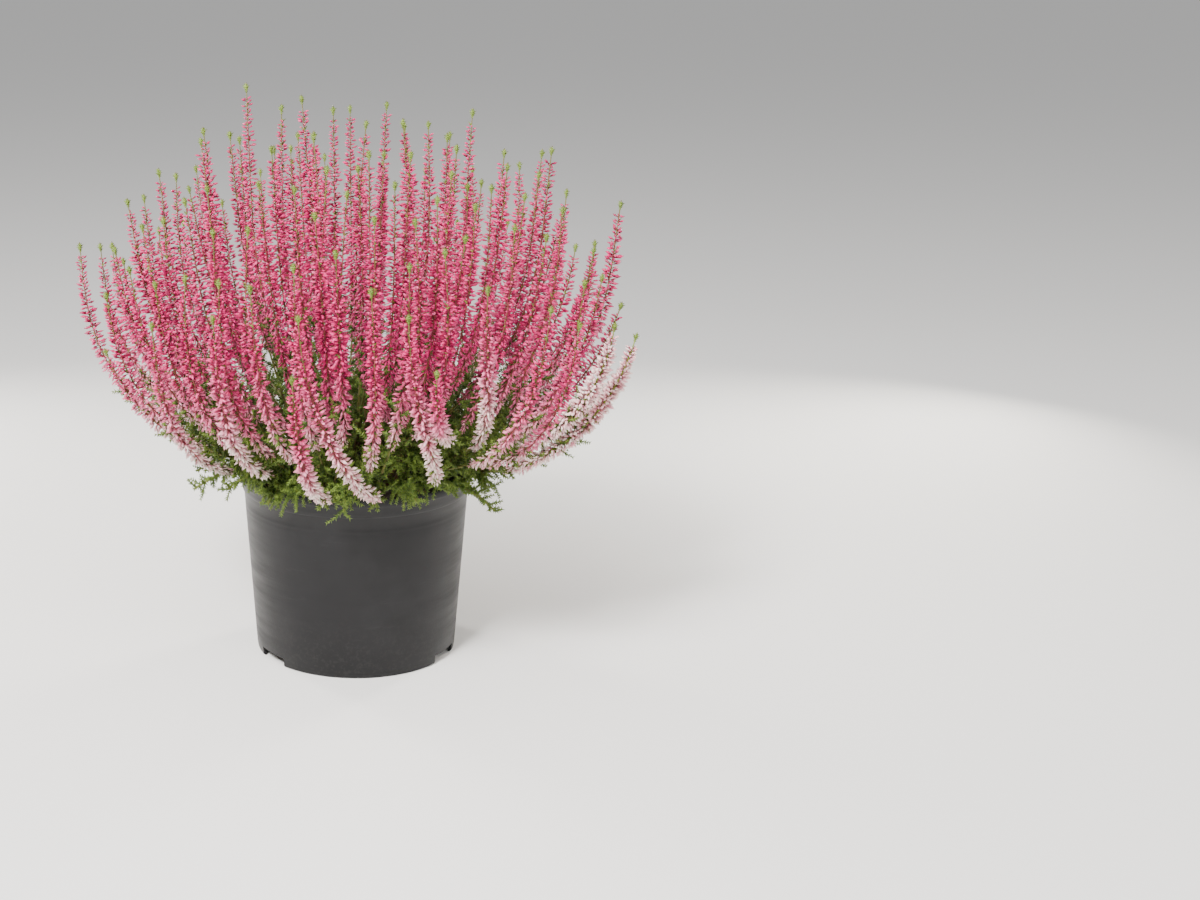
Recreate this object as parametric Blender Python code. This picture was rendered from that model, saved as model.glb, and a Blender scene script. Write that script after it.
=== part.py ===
"""Potted heather: a nursery pot, its soil, flowering sprays and leafy tufts.

Metres, +Z up. The origin is on the floor under the middle of the pot.
Every stem of the bush follows one fountain of nested arches. A place in the fountain is a lean,
a point of a flat disc (0 is upright in the middle, 1 is an outer shoot), and a distance along
the shoot. Shoots with different leans never cross, so the bush is laid out on the disc.
"""

import math

import bpy
import numpy as np

MM = 0.001
GOLDEN_TURN = math.pi * (3.0 - math.sqrt(5.0))

# Pot
POT_SEGMENTS = 40
RIM_RADIUS = 70.0 * MM
POT_HEIGHT = 112.0 * MM
LIP_HEIGHT = 4.5 * MM
LIP_WIDTH = 1.3 * MM
BAND_HEIGHT = 11.2 * MM
BODY_TOP_RADIUS = 67.0 * MM
BODY_FOOT_RADIUS = 60.4 * MM
WALL = 1.3 * MM
FOOT_EDGE = 2.6 * MM
FOOT_FLAT = 1.1 * MM
FOOT_SLOPE = 1.3 * MM
FOOT_ROUND = 0.3 * MM
SHOULDER_STEP = 0.9 * MM
SHOULDER_ROUND = 1.2 * MM
LIP_ROUND = 0.5 * MM
PLATE_BOTTOM = 4.0 * MM
PLATE_TOP = 5.4 * MM
NOTCH_ANGLES = (-56.0, 62.0, 183.0)
NOTCH_WIDTH = 22.0
NOTCH_HEIGHT = 5.6 * MM
NOTCH_DEPTH = 12.0 * MM
NOTCH_STEPS = 3
CUTTER_OVERLAP = 2.0 * MM
SHARP_EDGE = math.radians(32.0)
GAP = 0.3 * MM
PLASTIC_GREY = (0.045, 0.045, 0.048)
PLASTIC_ROUGHNESS = 0.5

# Soil
SOIL_SEGMENTS = 20
SOIL_EDGE_HEIGHT = 98.5 * MM
SOIL_SAG = 1.0 * MM
SOIL_CROWN = 1.6 * MM
SOIL_RELIEF = 0.8 * MM
SOIL_WAVES = (95.0, 82.0, 31.0)
SOIL_RINGS = (22.0 * MM, 44.0 * MM)
HOLE_SIDES = 4
HOLE_DEPTH = 14.0 * MM
STEM_TOP_IN_HOLE = 103.5 * MM
PEAT_BROWN = (0.028, 0.019, 0.013)
PEAT_ROUGHNESS = 0.95

# Fountain of shoots
FORK_HEIGHT = 105.0 * MM
FORK_RISE = 5.0 * MM
BASE_SPREAD = 42.0 * MM
FIRST_ANGLE = math.radians(66.0)
LAST_ANGLE = math.radians(6.0)
FLATTEST_ANGLE = math.radians(80.0)
BEND_START = 30.0 * MM
BEND_END = 185.0 * MM
LEAN_LIMIT = 1.6
LEAN_STEPS = 161
DISTANCE_STEPS = 320
BELOW_LAST = 1.001
SMALLEST_LEAN = 1e-6

# Tips on the outline of the bush, in millimetres right of the pot's axis and above the floor,
# as seen from the front at eye height; the third value is how far each lies behind the axis
SIGHT_DISTANCE = 1.0
SIGHT_HEIGHT = 0.399
OUTLINE_TIPS = (
    (-159, 247, 10), (-149, 245, 30), (-142, 244, -42), (-128, 246, 14), (-122, 275, 44),
    (-116, 288, -22), (-103, 287, 20), (-87, 312, -6), (-72, 310, 26), (-62, 337, -4),
    (-47, 302, 32), (-42, 325, -26), (-31, 330, 8), (-24, 310, -40), (-13, 324, 26),
    (1, 291, -34), (6, 316, 6), (16, 299, 36), (27, 315, -14), (52, 309, 10),
    (64, 281, -34), (72, 283, 30), (86, 300, -4), (111, 302, 10), (121, 278, -26),
    (119, 266, 40), (156, 268, -8), (128, 246, 14), (137, 231, 48), (143, 229, -40),
    (163, 207, -2), (152, 200, -58), (-145, 212, 38),
)

# Tips in front of the outline, seen in the same way; each lies on the dome of the bush, whose
# height is given over the distance from the axis
FRONT_TIPS = (
    (-65, 256), (-84, 248), (-24, 268), (-12, 243), (12, 220), (27, 265), (-5, 277),
    (25, 281), (-31, 281), (-51, 283), (-46, 302), (28, 298), (15, 299), (-19, 287), (-27, 309),
    (89, 236), (96, 253), (106, 245), (107, 219), (129, 227), (119, 268), (64, 281),
    (70, 273), (56, 269), (42, 257), (77, 262), (-125, 214), (-144, 212), (-131, 229),
    (-96, 212), (-106, 217), (-62, 222), (-36, 232), (45, 232), (66, 244),
)
DOME_RADII = (0, 60, 90, 120, 150, 160, 166, 170)
DOME_HEIGHTS = (325, 325, 305, 280, 250, 225, 185, 120)
DOME_FRONT = -175
DOME_BACK = 50

# Low shoots at the front and the sides: where their pale lowest florets hang at the pot's rim
# and where their tips are, both seen in the same way
LOW_SHOOTS = (
    ((13, 92, -80), (-34, 205, -153)), ((-17, 92, -80), (-38, 168, -159)),
    ((-53, 107, -68), (-84, 205, -139)), ((47, 103, -72), (31, 205, -153)),
    ((70, 123, -66), (77, 222, -136)), ((-72, 108, -45), (-120, 200, -120)),
    ((89, 109, -35), (165, 194, -34)), ((55, 128, -76), (48, 171, -157)),
    ((88, 125, 8), (162, 178, 0)), ((-88, 121, -12), (-148, 184, -44)),
)
LOW_SAMPLES = 6

# Shoots laid out by rule over the rest of the disc
RULE_SHOOTS = 112
RULE_LEAN = 1.10
CENTRE_LENGTH = 214.0 * MM
EDGE_LENGTH = 167.0 * MM
LENGTH_JITTER = 14.0 * MM
CLOSEST_LEANS = 0.13
TAKEN_LEANS = 0.11
SPREAD_ROUNDS = 60
SEED = 15

# Sprays
SPRAYS = 26
GROUP_ROUNDS = 12
TRUNK_RADIUS = 1.9 * MM
TRUNK_TAPER = 80.0 * MM
STEM_RADIUS = 1.2 * MM
ROOT_RADIUS = 0.7 * MM
FIRST_FORK = 7.0 * MM
FORK_STEP = 6.0 * MM
SLIDE_LENGTH = 74.0 * MM
BOW = 0.022
ROD_SIDES = 3
ASKEW = np.array((0.31, 0.95, 0.05))

# Flower spikes: tiers of hanging florets, larger than life, round a slim core
TIER_STEP = 24.0 * MM
FLORET_REACH = 5.4 * MM
CORE_RADIUS = 1.6 * MM
FLORET_PLACE = 0.02
FEWEST_TIERS = 2
ROUNDING = 0.01
TIP_LENGTH = 9.0 * MM
TIP_TAPER = 0.36
FLOWERS_FROM = 0.37
OUTER_FLOWERS_FROM = 0.34
FLOWERS_JITTER = 0.04
INNER_LEAN = 0.7
OUTER_LEAN = 1.2
BARE_AFTER_FORK = 14.0 * MM
FLOWER_PINK = (0.74, 0.16, 0.30)
FLOWER_ROUGHNESS = 0.6

# Leafy tufts: twigs with tiers of rising leaves
OUTER_TUFTS = 10
OUTER_TUFT_RADIUS = 55.0 * MM
OUTER_TUFT_TURN = 0.35
INNER_TUFTS = 4
INNER_TUFT_RADIUS = 29.0 * MM
INNER_TUFT_TURN = 0.1
TUFT_RADIUS = 1.5 * MM
TWIGS = 4
TWIG_TRIES = 9
LEAF_STEP = 13.0 * MM
LEAF_REACH = 3.0 * MM
TWIG_CORE = 1.0 * MM
LEAF_PLACE = 0.75
TWIG_TIP = 5.0 * MM
LEAFY_FROM = 0.3
OUTER_FAN = 1.3
OUTER_TWIG_REACHES = (80.0 * MM, 114.0 * MM)
OUTER_TWIG_HEIGHTS = (102.0 * MM, 146.0 * MM)
OVER_RIM = 14.0 * MM
INNER_TWIG_REACHES = (10.0 * MM, 32.0 * MM)
INNER_TWIG_HEIGHTS = (130.0 * MM, 168.0 * MM)
TWIG_MIDDLE = 0.4
TWIG_JITTER = 0.5
TWIG_FORK = 0.05
COURSE_STEPS = 30
BASE_TRIES = 6
BASE_SHIFT = 4.0 * MM
BASE_TURN = 0.3
CLEARANCE = 0.5 * MM
SAMPLE_STEP = 2.5 * MM
LEAF_GREEN = (0.10, 0.17, 0.04)
LEAF_ROUGHNESS = 0.65


def smooth(value):
    value = np.clip(value, 0.0, 1.0)
    return value * value * (3.0 - 2.0 * value)


def unit(vector):
    return vector / np.linalg.norm(vector)


# Fountain

def fountain_table():
    """Radius and height of every arch: one row for each lean, one column for each millimetre."""
    lean = np.linspace(0.0, LEAN_LIMIT, LEAN_STEPS)[:, None]
    distance = np.arange(DISTANCE_STEPS)[None, :] * MM
    first = np.minimum(FIRST_ANGLE * lean, FLATTEST_ANGLE)
    last = LAST_ANGLE * lean
    bend = smooth((distance - BEND_START) / (BEND_END - BEND_START))
    angle = first + (last - first) * bend
    radius = BASE_SPREAD * lean + np.cumsum(np.sin(angle), axis=1) * MM
    height = FORK_HEIGHT + FORK_RISE * lean + np.cumsum(np.cos(angle), axis=1) * MM
    return radius, height


RADIUS_TABLE, HEIGHT_TABLE = fountain_table()


def in_fountain(leans, distances):
    """World points at these leans (n, 2) and distances (n,)."""
    size = np.linalg.norm(leans, axis=1)
    row = np.clip(size / LEAN_LIMIT * (LEAN_STEPS - 1), 0, LEAN_STEPS - BELOW_LAST)
    column = np.clip(distances / MM, 0, DISTANCE_STEPS - BELOW_LAST)
    low_row = row.astype(int)
    low_column = column.astype(int)
    up = (row - low_row)[:, None]
    along = (column - low_column)[:, None]
    tables = np.stack((RADIUS_TABLE, HEIGHT_TABLE), axis=2)
    near = tables[low_row, low_column] * (1 - along) + tables[low_row, low_column + 1] * along
    far = tables[low_row + 1, low_column] * (1 - along) + tables[low_row + 1, low_column + 1] * along
    radius, height = (near * (1 - up) + far * up).T
    safe = np.maximum(size, SMALLEST_LEAN)
    return np.stack((leans[:, 0] / safe * radius, leans[:, 1] / safe * radius, height), axis=1)


def lean_through(point):
    """Lean and distance of the arch that ends at a point."""
    across = math.hypot(point[0], point[1])
    radii = []
    for radius, height in zip(RADIUS_TABLE, HEIGHT_TABLE):
        radii.append(np.interp(point[2], height, radius))
    size = np.interp(across, radii, np.linspace(0.0, LEAN_LIMIT, LEAN_STEPS))
    row = int(size / LEAN_LIMIT * (LEAN_STEPS - 1))
    distance = np.interp(point[2], HEIGHT_TABLE[row], np.arange(DISTANCE_STEPS)) * MM
    return size * np.array(point[:2]) / across, distance


def seen_from_front(across, up, behind):
    """The point this far behind the axis that covers (across, up) for an eye in front. The
    three are in millimetres."""
    scale = 1.0 + behind * MM / SIGHT_DISTANCE
    return across * MM * scale, behind * MM, SIGHT_HEIGHT + (up * MM - SIGHT_HEIGHT) * scale


def on_dome(across, up):
    """The first point of the dome that an eye in front sees at (across, up)."""
    for behind in range(DOME_FRONT, DOME_BACK):
        point = seen_from_front(across, up, behind)
        if point[2] / MM <= np.interp(math.hypot(point[0], point[1]) / MM, DOME_RADII, DOME_HEIGHTS):
            break
    return point


# Layout

def spread(leans, fixed):
    """Push leans that are too close to each other or to the fixed ones."""
    leans = leans.copy()
    for _ in range(SPREAD_ROUNDS):
        others = np.concatenate((leans, fixed))
        apart = leans[:, None, :] - others[None, :, :]
        distance = np.linalg.norm(apart, axis=2) + np.eye(len(leans), len(others))
        push = np.maximum(CLOSEST_LEANS - distance, 0.0) / distance
        leans += 0.5 * (apart * push[:, :, None]).sum(axis=1)
    return leans


def low_plans():
    """The low shoots: lean and distance of their lowest florets, lean and distance of their tips."""
    plans = []
    for foot, tip in LOW_SHOOTS:
        plans.append((*lean_through(seen_from_front(*foot)), *lean_through(seen_from_front(*tip))))
    return plans


def lay_out_shoots():
    """Every flowering shoot without its spray: lean, sweep, length, flowers' start and bow."""
    rng = np.random.default_rng(SEED)
    leans = []
    lengths = []
    for tip in OUTLINE_TIPS:
        lean, length = lean_through(seen_from_front(*tip))
        leans.append(lean)
        lengths.append(length)
    for tip in FRONT_TIPS:
        lean, length = lean_through(on_dome(*tip))
        leans.append(lean)
        lengths.append(length)
    low = low_plans()
    fixed = []
    for low_lean, _, tip_lean, _ in low:
        for share in np.linspace(0.0, 1.0, LOW_SAMPLES):
            fixed.append(low_lean + (tip_lean - low_lean) * share)
    for k in range(RULE_SHOOTS):
        size = RULE_LEAN * math.sqrt((k + 0.5) / RULE_SHOOTS)
        turn = k * GOLDEN_TURN
        lean = np.array((math.cos(turn), math.sin(turn))) * size
        jitter = rng.uniform(-1.0, 1.0)
        if min(np.linalg.norm(lean - other) for other in leans + fixed) < TAKEN_LEANS:
            continue
        leans.append(lean)
        lengths.append(CENTRE_LENGTH + (EDGE_LENGTH - CENTRE_LENGTH) * (size / RULE_LEAN) ** 3
                       + jitter * LENGTH_JITTER)
    leans = spread(np.array(leans), np.array(fixed))
    sizes = np.linalg.norm(leans, axis=1)
    outer = smooth((sizes - INNER_LEAN) / (OUTER_LEAN - INNER_LEAN))
    share = FLOWERS_FROM + (OUTER_FLOWERS_FROM - FLOWERS_FROM) * outer
    share += rng.uniform(-FLOWERS_JITTER, FLOWERS_JITTER, len(sizes))
    bows = rng.normal(0.0, BOW, (len(sizes), 2))
    plans = []
    for low_lean, low_from, tip_lean, length in low:
        plans.append((low_lean, tip_lean - low_lean, length, low_from, np.zeros(2)))
    for k in range(len(leans)):
        plans.append((leans[k], np.zeros(2), lengths[k], share[k] * lengths[k], bows[k]))
    return plans


def group_shoots(leans):
    """Share the shoots out among the sprays, each with its nearest."""
    order = np.arange(SPRAYS)
    turns = order * GOLDEN_TURN
    sizes = RULE_LEAN * np.sqrt((order + 0.5) / SPRAYS)
    centres = np.stack((np.cos(turns), np.sin(turns)), axis=1) * sizes[:, None]
    for _ in range(GROUP_ROUNDS):
        nearest = np.argmin(np.linalg.norm(leans[:, None] - centres[None], axis=2), axis=1)
        for k in range(SPRAYS):
            if np.any(nearest == k):
                centres[k] = leans[nearest == k].mean(axis=0)
    return centres, nearest


class Shoot:
    """A shoot's course through the fountain, from where it forks off to its tip. It slides from
    its root's lean to its own, and from there it may sweep to another."""

    def __init__(self, root, fork, plan):
        lean, sweep, length, flowers_from, bow = plan
        self.root = root
        self.fork = fork
        self.lean = lean
        self.sweep = sweep
        self.length = length
        self.bow = bow
        self.sweeps = bool(np.any(sweep))
        self.slide = flowers_from - fork if self.sweeps else SLIDE_LENGTH
        self.flowers_from = flowers_from if self.sweeps else max(flowers_from, fork + BARE_AFTER_FORK)

    def lean_at(self, distances):
        slide = np.clip((distances - self.fork) / self.slide, 0.0, 1.0)
        slide = (1.0 - (1.0 - slide) ** 2)[:, None]
        span = np.clip((distances - self.fork) / (self.length - self.fork), 0.0, 1.0)
        swept = np.clip((distances - self.flowers_from) / (self.length - self.flowers_from), 0.0, 1.0)
        swept = (1.0 - (1.0 - swept) ** 2)[:, None]
        straight = self.root + (self.lean - self.root) * slide + self.sweep * swept
        return straight + self.bow * np.sin(math.pi * span)[:, None]

    def points(self, distances):
        return in_fountain(self.lean_at(distances), distances)


def make_sprays():
    """Lists of shoots, one list for each spray; the first shoot of a list is its leader."""
    plans = lay_out_shoots()
    leans = np.array([plan[0] for plan in plans])
    centres, nearest = group_shoots(leans)
    sprays = []
    for k in range(SPRAYS):
        members = np.flatnonzero(nearest == k)
        if len(members) == 0:
            continue
        steps = np.linalg.norm(leans[members] - centres[k], axis=1)
        steps[members < len(LOW_SHOOTS)] -= LEAN_LIMIT
        members = members[np.argsort(steps)]
        leader = Shoot(centres[k], 0.0, plans[members[0]])
        shoots = [leader]
        for place, member in enumerate(members[1:]):
            fork = FIRST_FORK + place * FORK_STEP
            shoots.append(Shoot(leader.lean_at(np.array([fork]))[0], fork, plans[member]))
        sprays.append(shoots)
    return sprays


# Meshes

def frames_along(points):
    """Two side directions at each point of a course, turning as little as possible. The first
    is square to a direction in which no course starts."""
    tangents = np.gradient(points, axis=0)
    tangents /= np.linalg.norm(tangents, axis=1)[:, None]
    side = unit(np.cross(tangents[0], ASKEW))
    sides = []
    for tangent in tangents:
        side = unit(side - tangent * np.dot(side, tangent))
        sides.append(side)
    sides = np.array(sides)
    return sides, np.cross(tangents, sides)


def budding_rod(points, radii, reaches, place):
    """A closed three-sided rod that ends in a point. Where a stretch has a reach, its three lower
    triangles are raised to a tier of buds; place is the height of the buds' ends in the stretch."""
    sides, others = frames_along(points)
    vertices = []
    for k in range(len(points) - 1):
        for corner in range(ROD_SIDES):
            turn = 2.0 * math.pi / ROD_SIDES * (corner + 0.5 * (k % 2))
            vertices.append(points[k] + radii[k] * (math.cos(turn) * sides[k] + math.sin(turn) * others[k]))
    faces = [(2, 1, 0)]
    for k in range(len(points) - 2):
        ring = ROD_SIDES * k
        for corner in range(ROD_SIDES):
            here = ring + corner
            beside = ring + (corner + 1) % ROD_SIDES
            above = ring + ROD_SIDES + (corner + k % 2) % ROD_SIDES
            before_above = ring + ROD_SIDES + (corner + k % 2 - 1) % ROD_SIDES
            faces.append((above, before_above, here))
            if reaches[k] == 0.0:
                faces.append((here, beside, above))
                continue
            outward = unit((vertices[here] + vertices[beside]) / 2.0 - points[k])
            bud = len(vertices)
            vertices.append(points[k] + (points[k + 1] - points[k]) * place + outward * reaches[k])
            faces += [(here, beside, bud), (beside, above, bud), (above, here, bud)]
    last = ROD_SIDES * (len(points) - 2)
    tip = len(vertices)
    vertices.append(points[-1])
    for corner in range(ROD_SIDES):
        faces.append((last + corner, last + (corner + 1) % ROD_SIDES, tip))
    return vertices, faces


def rings_of(shoot, is_leader):
    """Distances of a shoot's rings: along the stem, at each tier of florets, and the tip."""
    if is_leader:
        bends = 2 if np.linalg.norm(shoot.lean) > INNER_LEAN else 1
        stem = list(np.linspace(shoot.fork, shoot.flowers_from, bends + 2)[:-1])
    else:
        middle = (shoot.fork + shoot.flowers_from) / 2.0
        stem = [shoot.fork, shoot.fork + FORK_STEP, max(middle, shoot.fork + 2.0 * FORK_STEP)]
    flowers_end = shoot.length - TIP_LENGTH
    tiers = max(FEWEST_TIERS, round((flowers_end - shoot.flowers_from) / TIER_STEP))
    bloom = np.linspace(shoot.flowers_from, flowers_end, tiers + 1)
    return np.array(stem + list(bloom) + [shoot.length])


def leader_course(leader):
    """Ring distances and points of a leader, from its foot in the soil to its tip."""
    distances = rings_of(leader, True)
    points = leader.points(distances)
    base = points[0].copy()
    base[2] = STEM_TOP_IN_HOLE
    foot = base.copy()
    foot[2] = soil_height(base[0], base[1]) - HOLE_DEPTH + GAP
    points = np.concatenate(([foot, base], points[1:]))
    return np.insert(distances, 0, -HOLE_DEPTH), points


def side_course(shoot, leader):
    """Ring distances and points of a side shoot, whose root lies inside its leader's stem."""
    distances = rings_of(shoot, False)
    points = shoot.points(distances)
    leader_distances, leader_points = leader_course(leader)
    for axis in range(3):
        points[0, axis] = np.interp(shoot.fork, leader_distances, leader_points[:, axis])
    return distances, points


def shoot_mesh(shoot, leader):
    """The stem, the tiers of florets and the tip of a shoot, as one closed rod."""
    if shoot is leader:
        distances, points = leader_course(shoot)
        radii = np.interp(distances, (0.0, TRUNK_TAPER), (TRUNK_RADIUS, STEM_RADIUS))
    else:
        distances, points = side_course(shoot, leader)
        radii = np.full(len(distances), STEM_RADIUS)
        radii[0] = ROOT_RADIUS
    flowers_end = shoot.length - TIP_LENGTH
    height = (distances - shoot.flowers_from) / (flowers_end - shoot.flowers_from)
    above_leaves = height > -ROUNDING
    in_bloom = above_leaves & (height < 1.0 - ROUNDING)
    radii = np.where(above_leaves, CORE_RADIUS * (1.0 - TIP_TAPER * np.clip(height, 0, 1)), radii)
    reaches = np.where(in_bloom, FLORET_REACH * (1.0 - TIP_TAPER * smooth(2.0 * height - 1.0)), 0.0)
    return budding_rod(points, radii, reaches, FLORET_PLACE)


def add_object(name, vertices, faces, material):
    mesh = bpy.data.meshes.new(name)
    mesh.from_pydata([tuple(vertex) for vertex in vertices], [], faces)
    mesh.update()
    thing = bpy.data.objects.new(name, mesh)
    thing.data.materials.append(material)
    bpy.context.scene.collection.objects.link(thing)
    return thing


def make_material(name, colour, roughness):
    material = bpy.data.materials.new(name)
    material.use_nodes = True
    shader = material.node_tree.nodes["Principled BSDF"]
    shader.inputs["Base Color"].default_value = (*colour, 1.0)
    shader.inputs["Roughness"].default_value = roughness
    shader.inputs["Metallic"].default_value = 0.0
    return material


def boolean_with(target, others, operation, solver):
    """Join or cut the target with a collection of closed pieces, apply, and remove them."""
    group = bpy.data.collections.new("pieces")
    bpy.context.scene.collection.children.link(group)
    for other in others:
        bpy.context.scene.collection.objects.unlink(other)
        group.objects.link(other)
    modifier = target.modifiers.new("join", "BOOLEAN")
    modifier.operand_type = "COLLECTION"
    modifier.collection = group
    modifier.operation = operation
    modifier.solver = solver
    bpy.context.view_layer.update()
    evaluated = target.evaluated_get(bpy.context.evaluated_depsgraph_get())
    result = bpy.data.meshes.new_from_object(evaluated)
    target.modifiers.clear()
    target.data = result
    for other in others:
        bpy.data.objects.remove(other)
    bpy.data.collections.remove(group)


def join_pieces(name, pieces):
    if len(pieces) > 1:
        boolean_with(pieces[0], pieces[1:], "UNION", "MANIFOLD")
    pieces[0].name = name
    pieces[0].data.name = name


# Pot

def turned(profile, segments):
    """A solid of revolution. The profile runs from the axis underneath, round the outside,
    to the axis on top; its first and last points are on the axis."""
    vertices = [(0.0, 0.0, profile[0][1])]
    for radius, height in profile[1:-1]:
        for k in range(segments):
            turn = 2.0 * math.pi * k / segments
            vertices.append((radius * math.sin(turn), -radius * math.cos(turn), height))
    vertices.append((0.0, 0.0, profile[-1][1]))
    top = len(vertices) - 1
    faces = []
    for k in range(segments):
        following = (k + 1) % segments
        faces.append((0, 1 + following, 1 + k))
        for ring in range(len(profile) - 3):
            low = 1 + ring * segments
            high = low + segments
            faces.append((low + k, low + following, high + following, high + k))
        last = 1 + (len(profile) - 3) * segments
        faces.append((last + k, last + following, top))
    return vertices, faces


def inner_radius(height):
    """Radius of the pot's inner wall below the shoulder."""
    share = (height - PLATE_TOP) / (POT_HEIGHT - BAND_HEIGHT - PLATE_TOP)
    return BODY_FOOT_RADIUS - WALL + (BODY_TOP_RADIUS - BODY_FOOT_RADIUS) * share


def pot_profile():
    shoulder = POT_HEIGHT - BAND_HEIGHT
    lip = POT_HEIGHT - LIP_HEIGHT
    foot_outside = BODY_FOOT_RADIUS - FOOT_SLOPE
    return (
        (0.0, PLATE_BOTTOM),
        (inner_radius(PLATE_TOP), PLATE_BOTTOM),
        (foot_outside - FOOT_FLAT, 0.0),
        (foot_outside, 0.0),
        (BODY_FOOT_RADIUS - FOOT_ROUND, FOOT_EDGE / 3.0),
        (BODY_FOOT_RADIUS, FOOT_EDGE),
        (BODY_TOP_RADIUS, shoulder - SHOULDER_ROUND),
        (BODY_TOP_RADIUS + SHOULDER_STEP, shoulder),
        (RIM_RADIUS - LIP_ROUND, lip - LIP_ROUND),
        (RIM_RADIUS, lip + LIP_ROUND),
        (RIM_RADIUS, POT_HEIGHT - LIP_ROUND),
        (RIM_RADIUS - LIP_ROUND, POT_HEIGHT),
        (RIM_RADIUS - LIP_WIDTH, POT_HEIGHT),
        (RIM_RADIUS - LIP_WIDTH - LIP_ROUND, lip),
        (BODY_TOP_RADIUS + SHOULDER_STEP - WALL, shoulder + LIP_ROUND),
        (inner_radius(shoulder - SHOULDER_ROUND), shoulder - SHOULDER_ROUND),
        (inner_radius(PLATE_TOP), PLATE_TOP),
        (0.0, PLATE_TOP),
    )


def notch_cutter(angle):
    """A short curved block across the foot ring and the edge of the base plate."""
    inside = BODY_FOOT_RADIUS - NOTCH_DEPTH
    outside = BODY_FOOT_RADIUS + CUTTER_OVERLAP
    row = NOTCH_STEPS + 1
    vertices = []
    for height in (-CUTTER_OVERLAP, NOTCH_HEIGHT):
        for radius in (inside, outside):
            for k in range(row):
                turn = math.radians(angle + NOTCH_WIDTH * (k / NOTCH_STEPS - 0.5))
                vertices.append((radius * math.sin(turn), -radius * math.cos(turn), height))
    faces = []
    for k in range(NOTCH_STEPS):
        faces.append((k, k + 1, row + k + 1, row + k))
        faces.append((2 * row + k + 1, 2 * row + k, 3 * row + k, 3 * row + k + 1))
        faces.append((k + 1, k, 2 * row + k, 2 * row + k + 1))
        faces.append((row + k, row + k + 1, 3 * row + k + 1, 3 * row + k))
    faces.append((0, row, 3 * row, 2 * row))
    faces.append((row + NOTCH_STEPS, NOTCH_STEPS, 2 * row + NOTCH_STEPS, 3 * row + NOTCH_STEPS))
    return vertices, faces


def make_pot():
    plastic = make_material("pot_plastic", PLASTIC_GREY, PLASTIC_ROUGHNESS)
    pot = add_object("pot", *turned(pot_profile(), POT_SEGMENTS), plastic)
    cutters = []
    for angle in NOTCH_ANGLES:
        cutters.append(add_object("notch_cutter", *notch_cutter(angle), plastic))
    boolean_with(pot, cutters, "DIFFERENCE", "EXACT")
    pot.data.shade_smooth()
    pot.data.set_sharp_from_angle(angle=SHARP_EDGE)
    return pot


# Soil

def soil_height(x, y):
    across = math.hypot(x, y) / BODY_TOP_RADIUS
    ripple = math.sin(x * SOIL_WAVES[0]) * math.cos(y * SOIL_WAVES[1] + x * SOIL_WAVES[2])
    return SOIL_EDGE_HEIGHT + SOIL_CROWN * (1.0 - across * across) + SOIL_RELIEF * ripple


def make_soil(feet):
    """The filling of the pot, with a plain blind hole for each stem."""
    peat = make_material("soil_peat", PEAT_BROWN, PEAT_ROUGHNESS)
    bottom = PLATE_TOP + GAP
    profile = [
        (0.0, bottom),
        (inner_radius(bottom) - GAP, bottom),
        (inner_radius(SOIL_EDGE_HEIGHT) - GAP, SOIL_EDGE_HEIGHT - SOIL_SAG),
        (SOIL_RINGS[1], SOIL_EDGE_HEIGHT),
        (SOIL_RINGS[0], SOIL_EDGE_HEIGHT),
        (0.0, SOIL_EDGE_HEIGHT),
    ]
    vertices, faces = turned(profile, SOIL_SEGMENTS)
    for k in range(1 + 2 * SOIL_SEGMENTS, len(vertices)):
        x, y, _ = vertices[k]
        vertices[k] = (x, y, soil_height(x, y))
    soil = add_object("soil", vertices, faces, peat)
    cutters = []
    for foot, radius in feet:
        reach = (radius + GAP) / math.cos(math.pi / HOLE_SIDES)
        corners = []
        for height in (foot[2] - GAP, foot[2] + 2.0 * HOLE_DEPTH):
            for corner in range(HOLE_SIDES):
                turn = 2.0 * math.pi * corner / HOLE_SIDES
                corners.append((foot[0] + reach * math.cos(turn), foot[1] + reach * math.sin(turn), height))
        ring = range(HOLE_SIDES)
        sides = [tuple(reversed(ring)), tuple(HOLE_SIDES + k for k in ring)]
        for k in ring:
            following = (k + 1) % HOLE_SIDES
            sides.append((k, following, HOLE_SIDES + following, HOLE_SIDES + k))
        cutters.append(add_object("hole_cutter", corners, sides, peat))
    boolean_with(soil, cutters, "DIFFERENCE", "EXACT")
    return soil


# Sprays and tufts

def samples_of_shoot(shoot):
    """Points along a shoot and how far it reaches round each of them."""
    distances = np.arange(shoot.fork, shoot.length, SAMPLE_STEP)
    reach = np.where(distances > shoot.flowers_from - SAMPLE_STEP, FLORET_REACH, STEM_RADIUS)
    reach[distances < 2.0 * FIRST_FORK] = TRUNK_RADIUS
    return shoot.points(distances), reach


def samples_of_stem(base, radius):
    """The same for a stem where it stands in its hole."""
    heights = np.arange(SOIL_EDGE_HEIGHT - HOLE_DEPTH, STEM_TOP_IN_HOLE + MM, SAMPLE_STEP)
    course = np.stack((np.full(len(heights), base[0]), np.full(len(heights), base[1]), heights), axis=1)
    return course, np.full(len(heights), radius + 2.0 * GAP)


def rim_samples():
    """The same round the rim of the pot."""
    turns = np.arange(0.0, 2.0 * math.pi, SAMPLE_STEP / RIM_RADIUS)
    heights = np.full(len(turns), POT_HEIGHT - LIP_WIDTH)
    rim = np.stack((np.cos(turns) * RIM_RADIUS, np.sin(turns) * RIM_RADIUS, heights), axis=1)
    return rim, np.full(len(turns), 2.0 * LIP_WIDTH)


def arch(start, middle, end, steps):
    steps = steps[:, None]
    return (1 - steps) ** 2 * start + 2 * steps * (1 - steps) * middle + steps ** 2 * end


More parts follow.
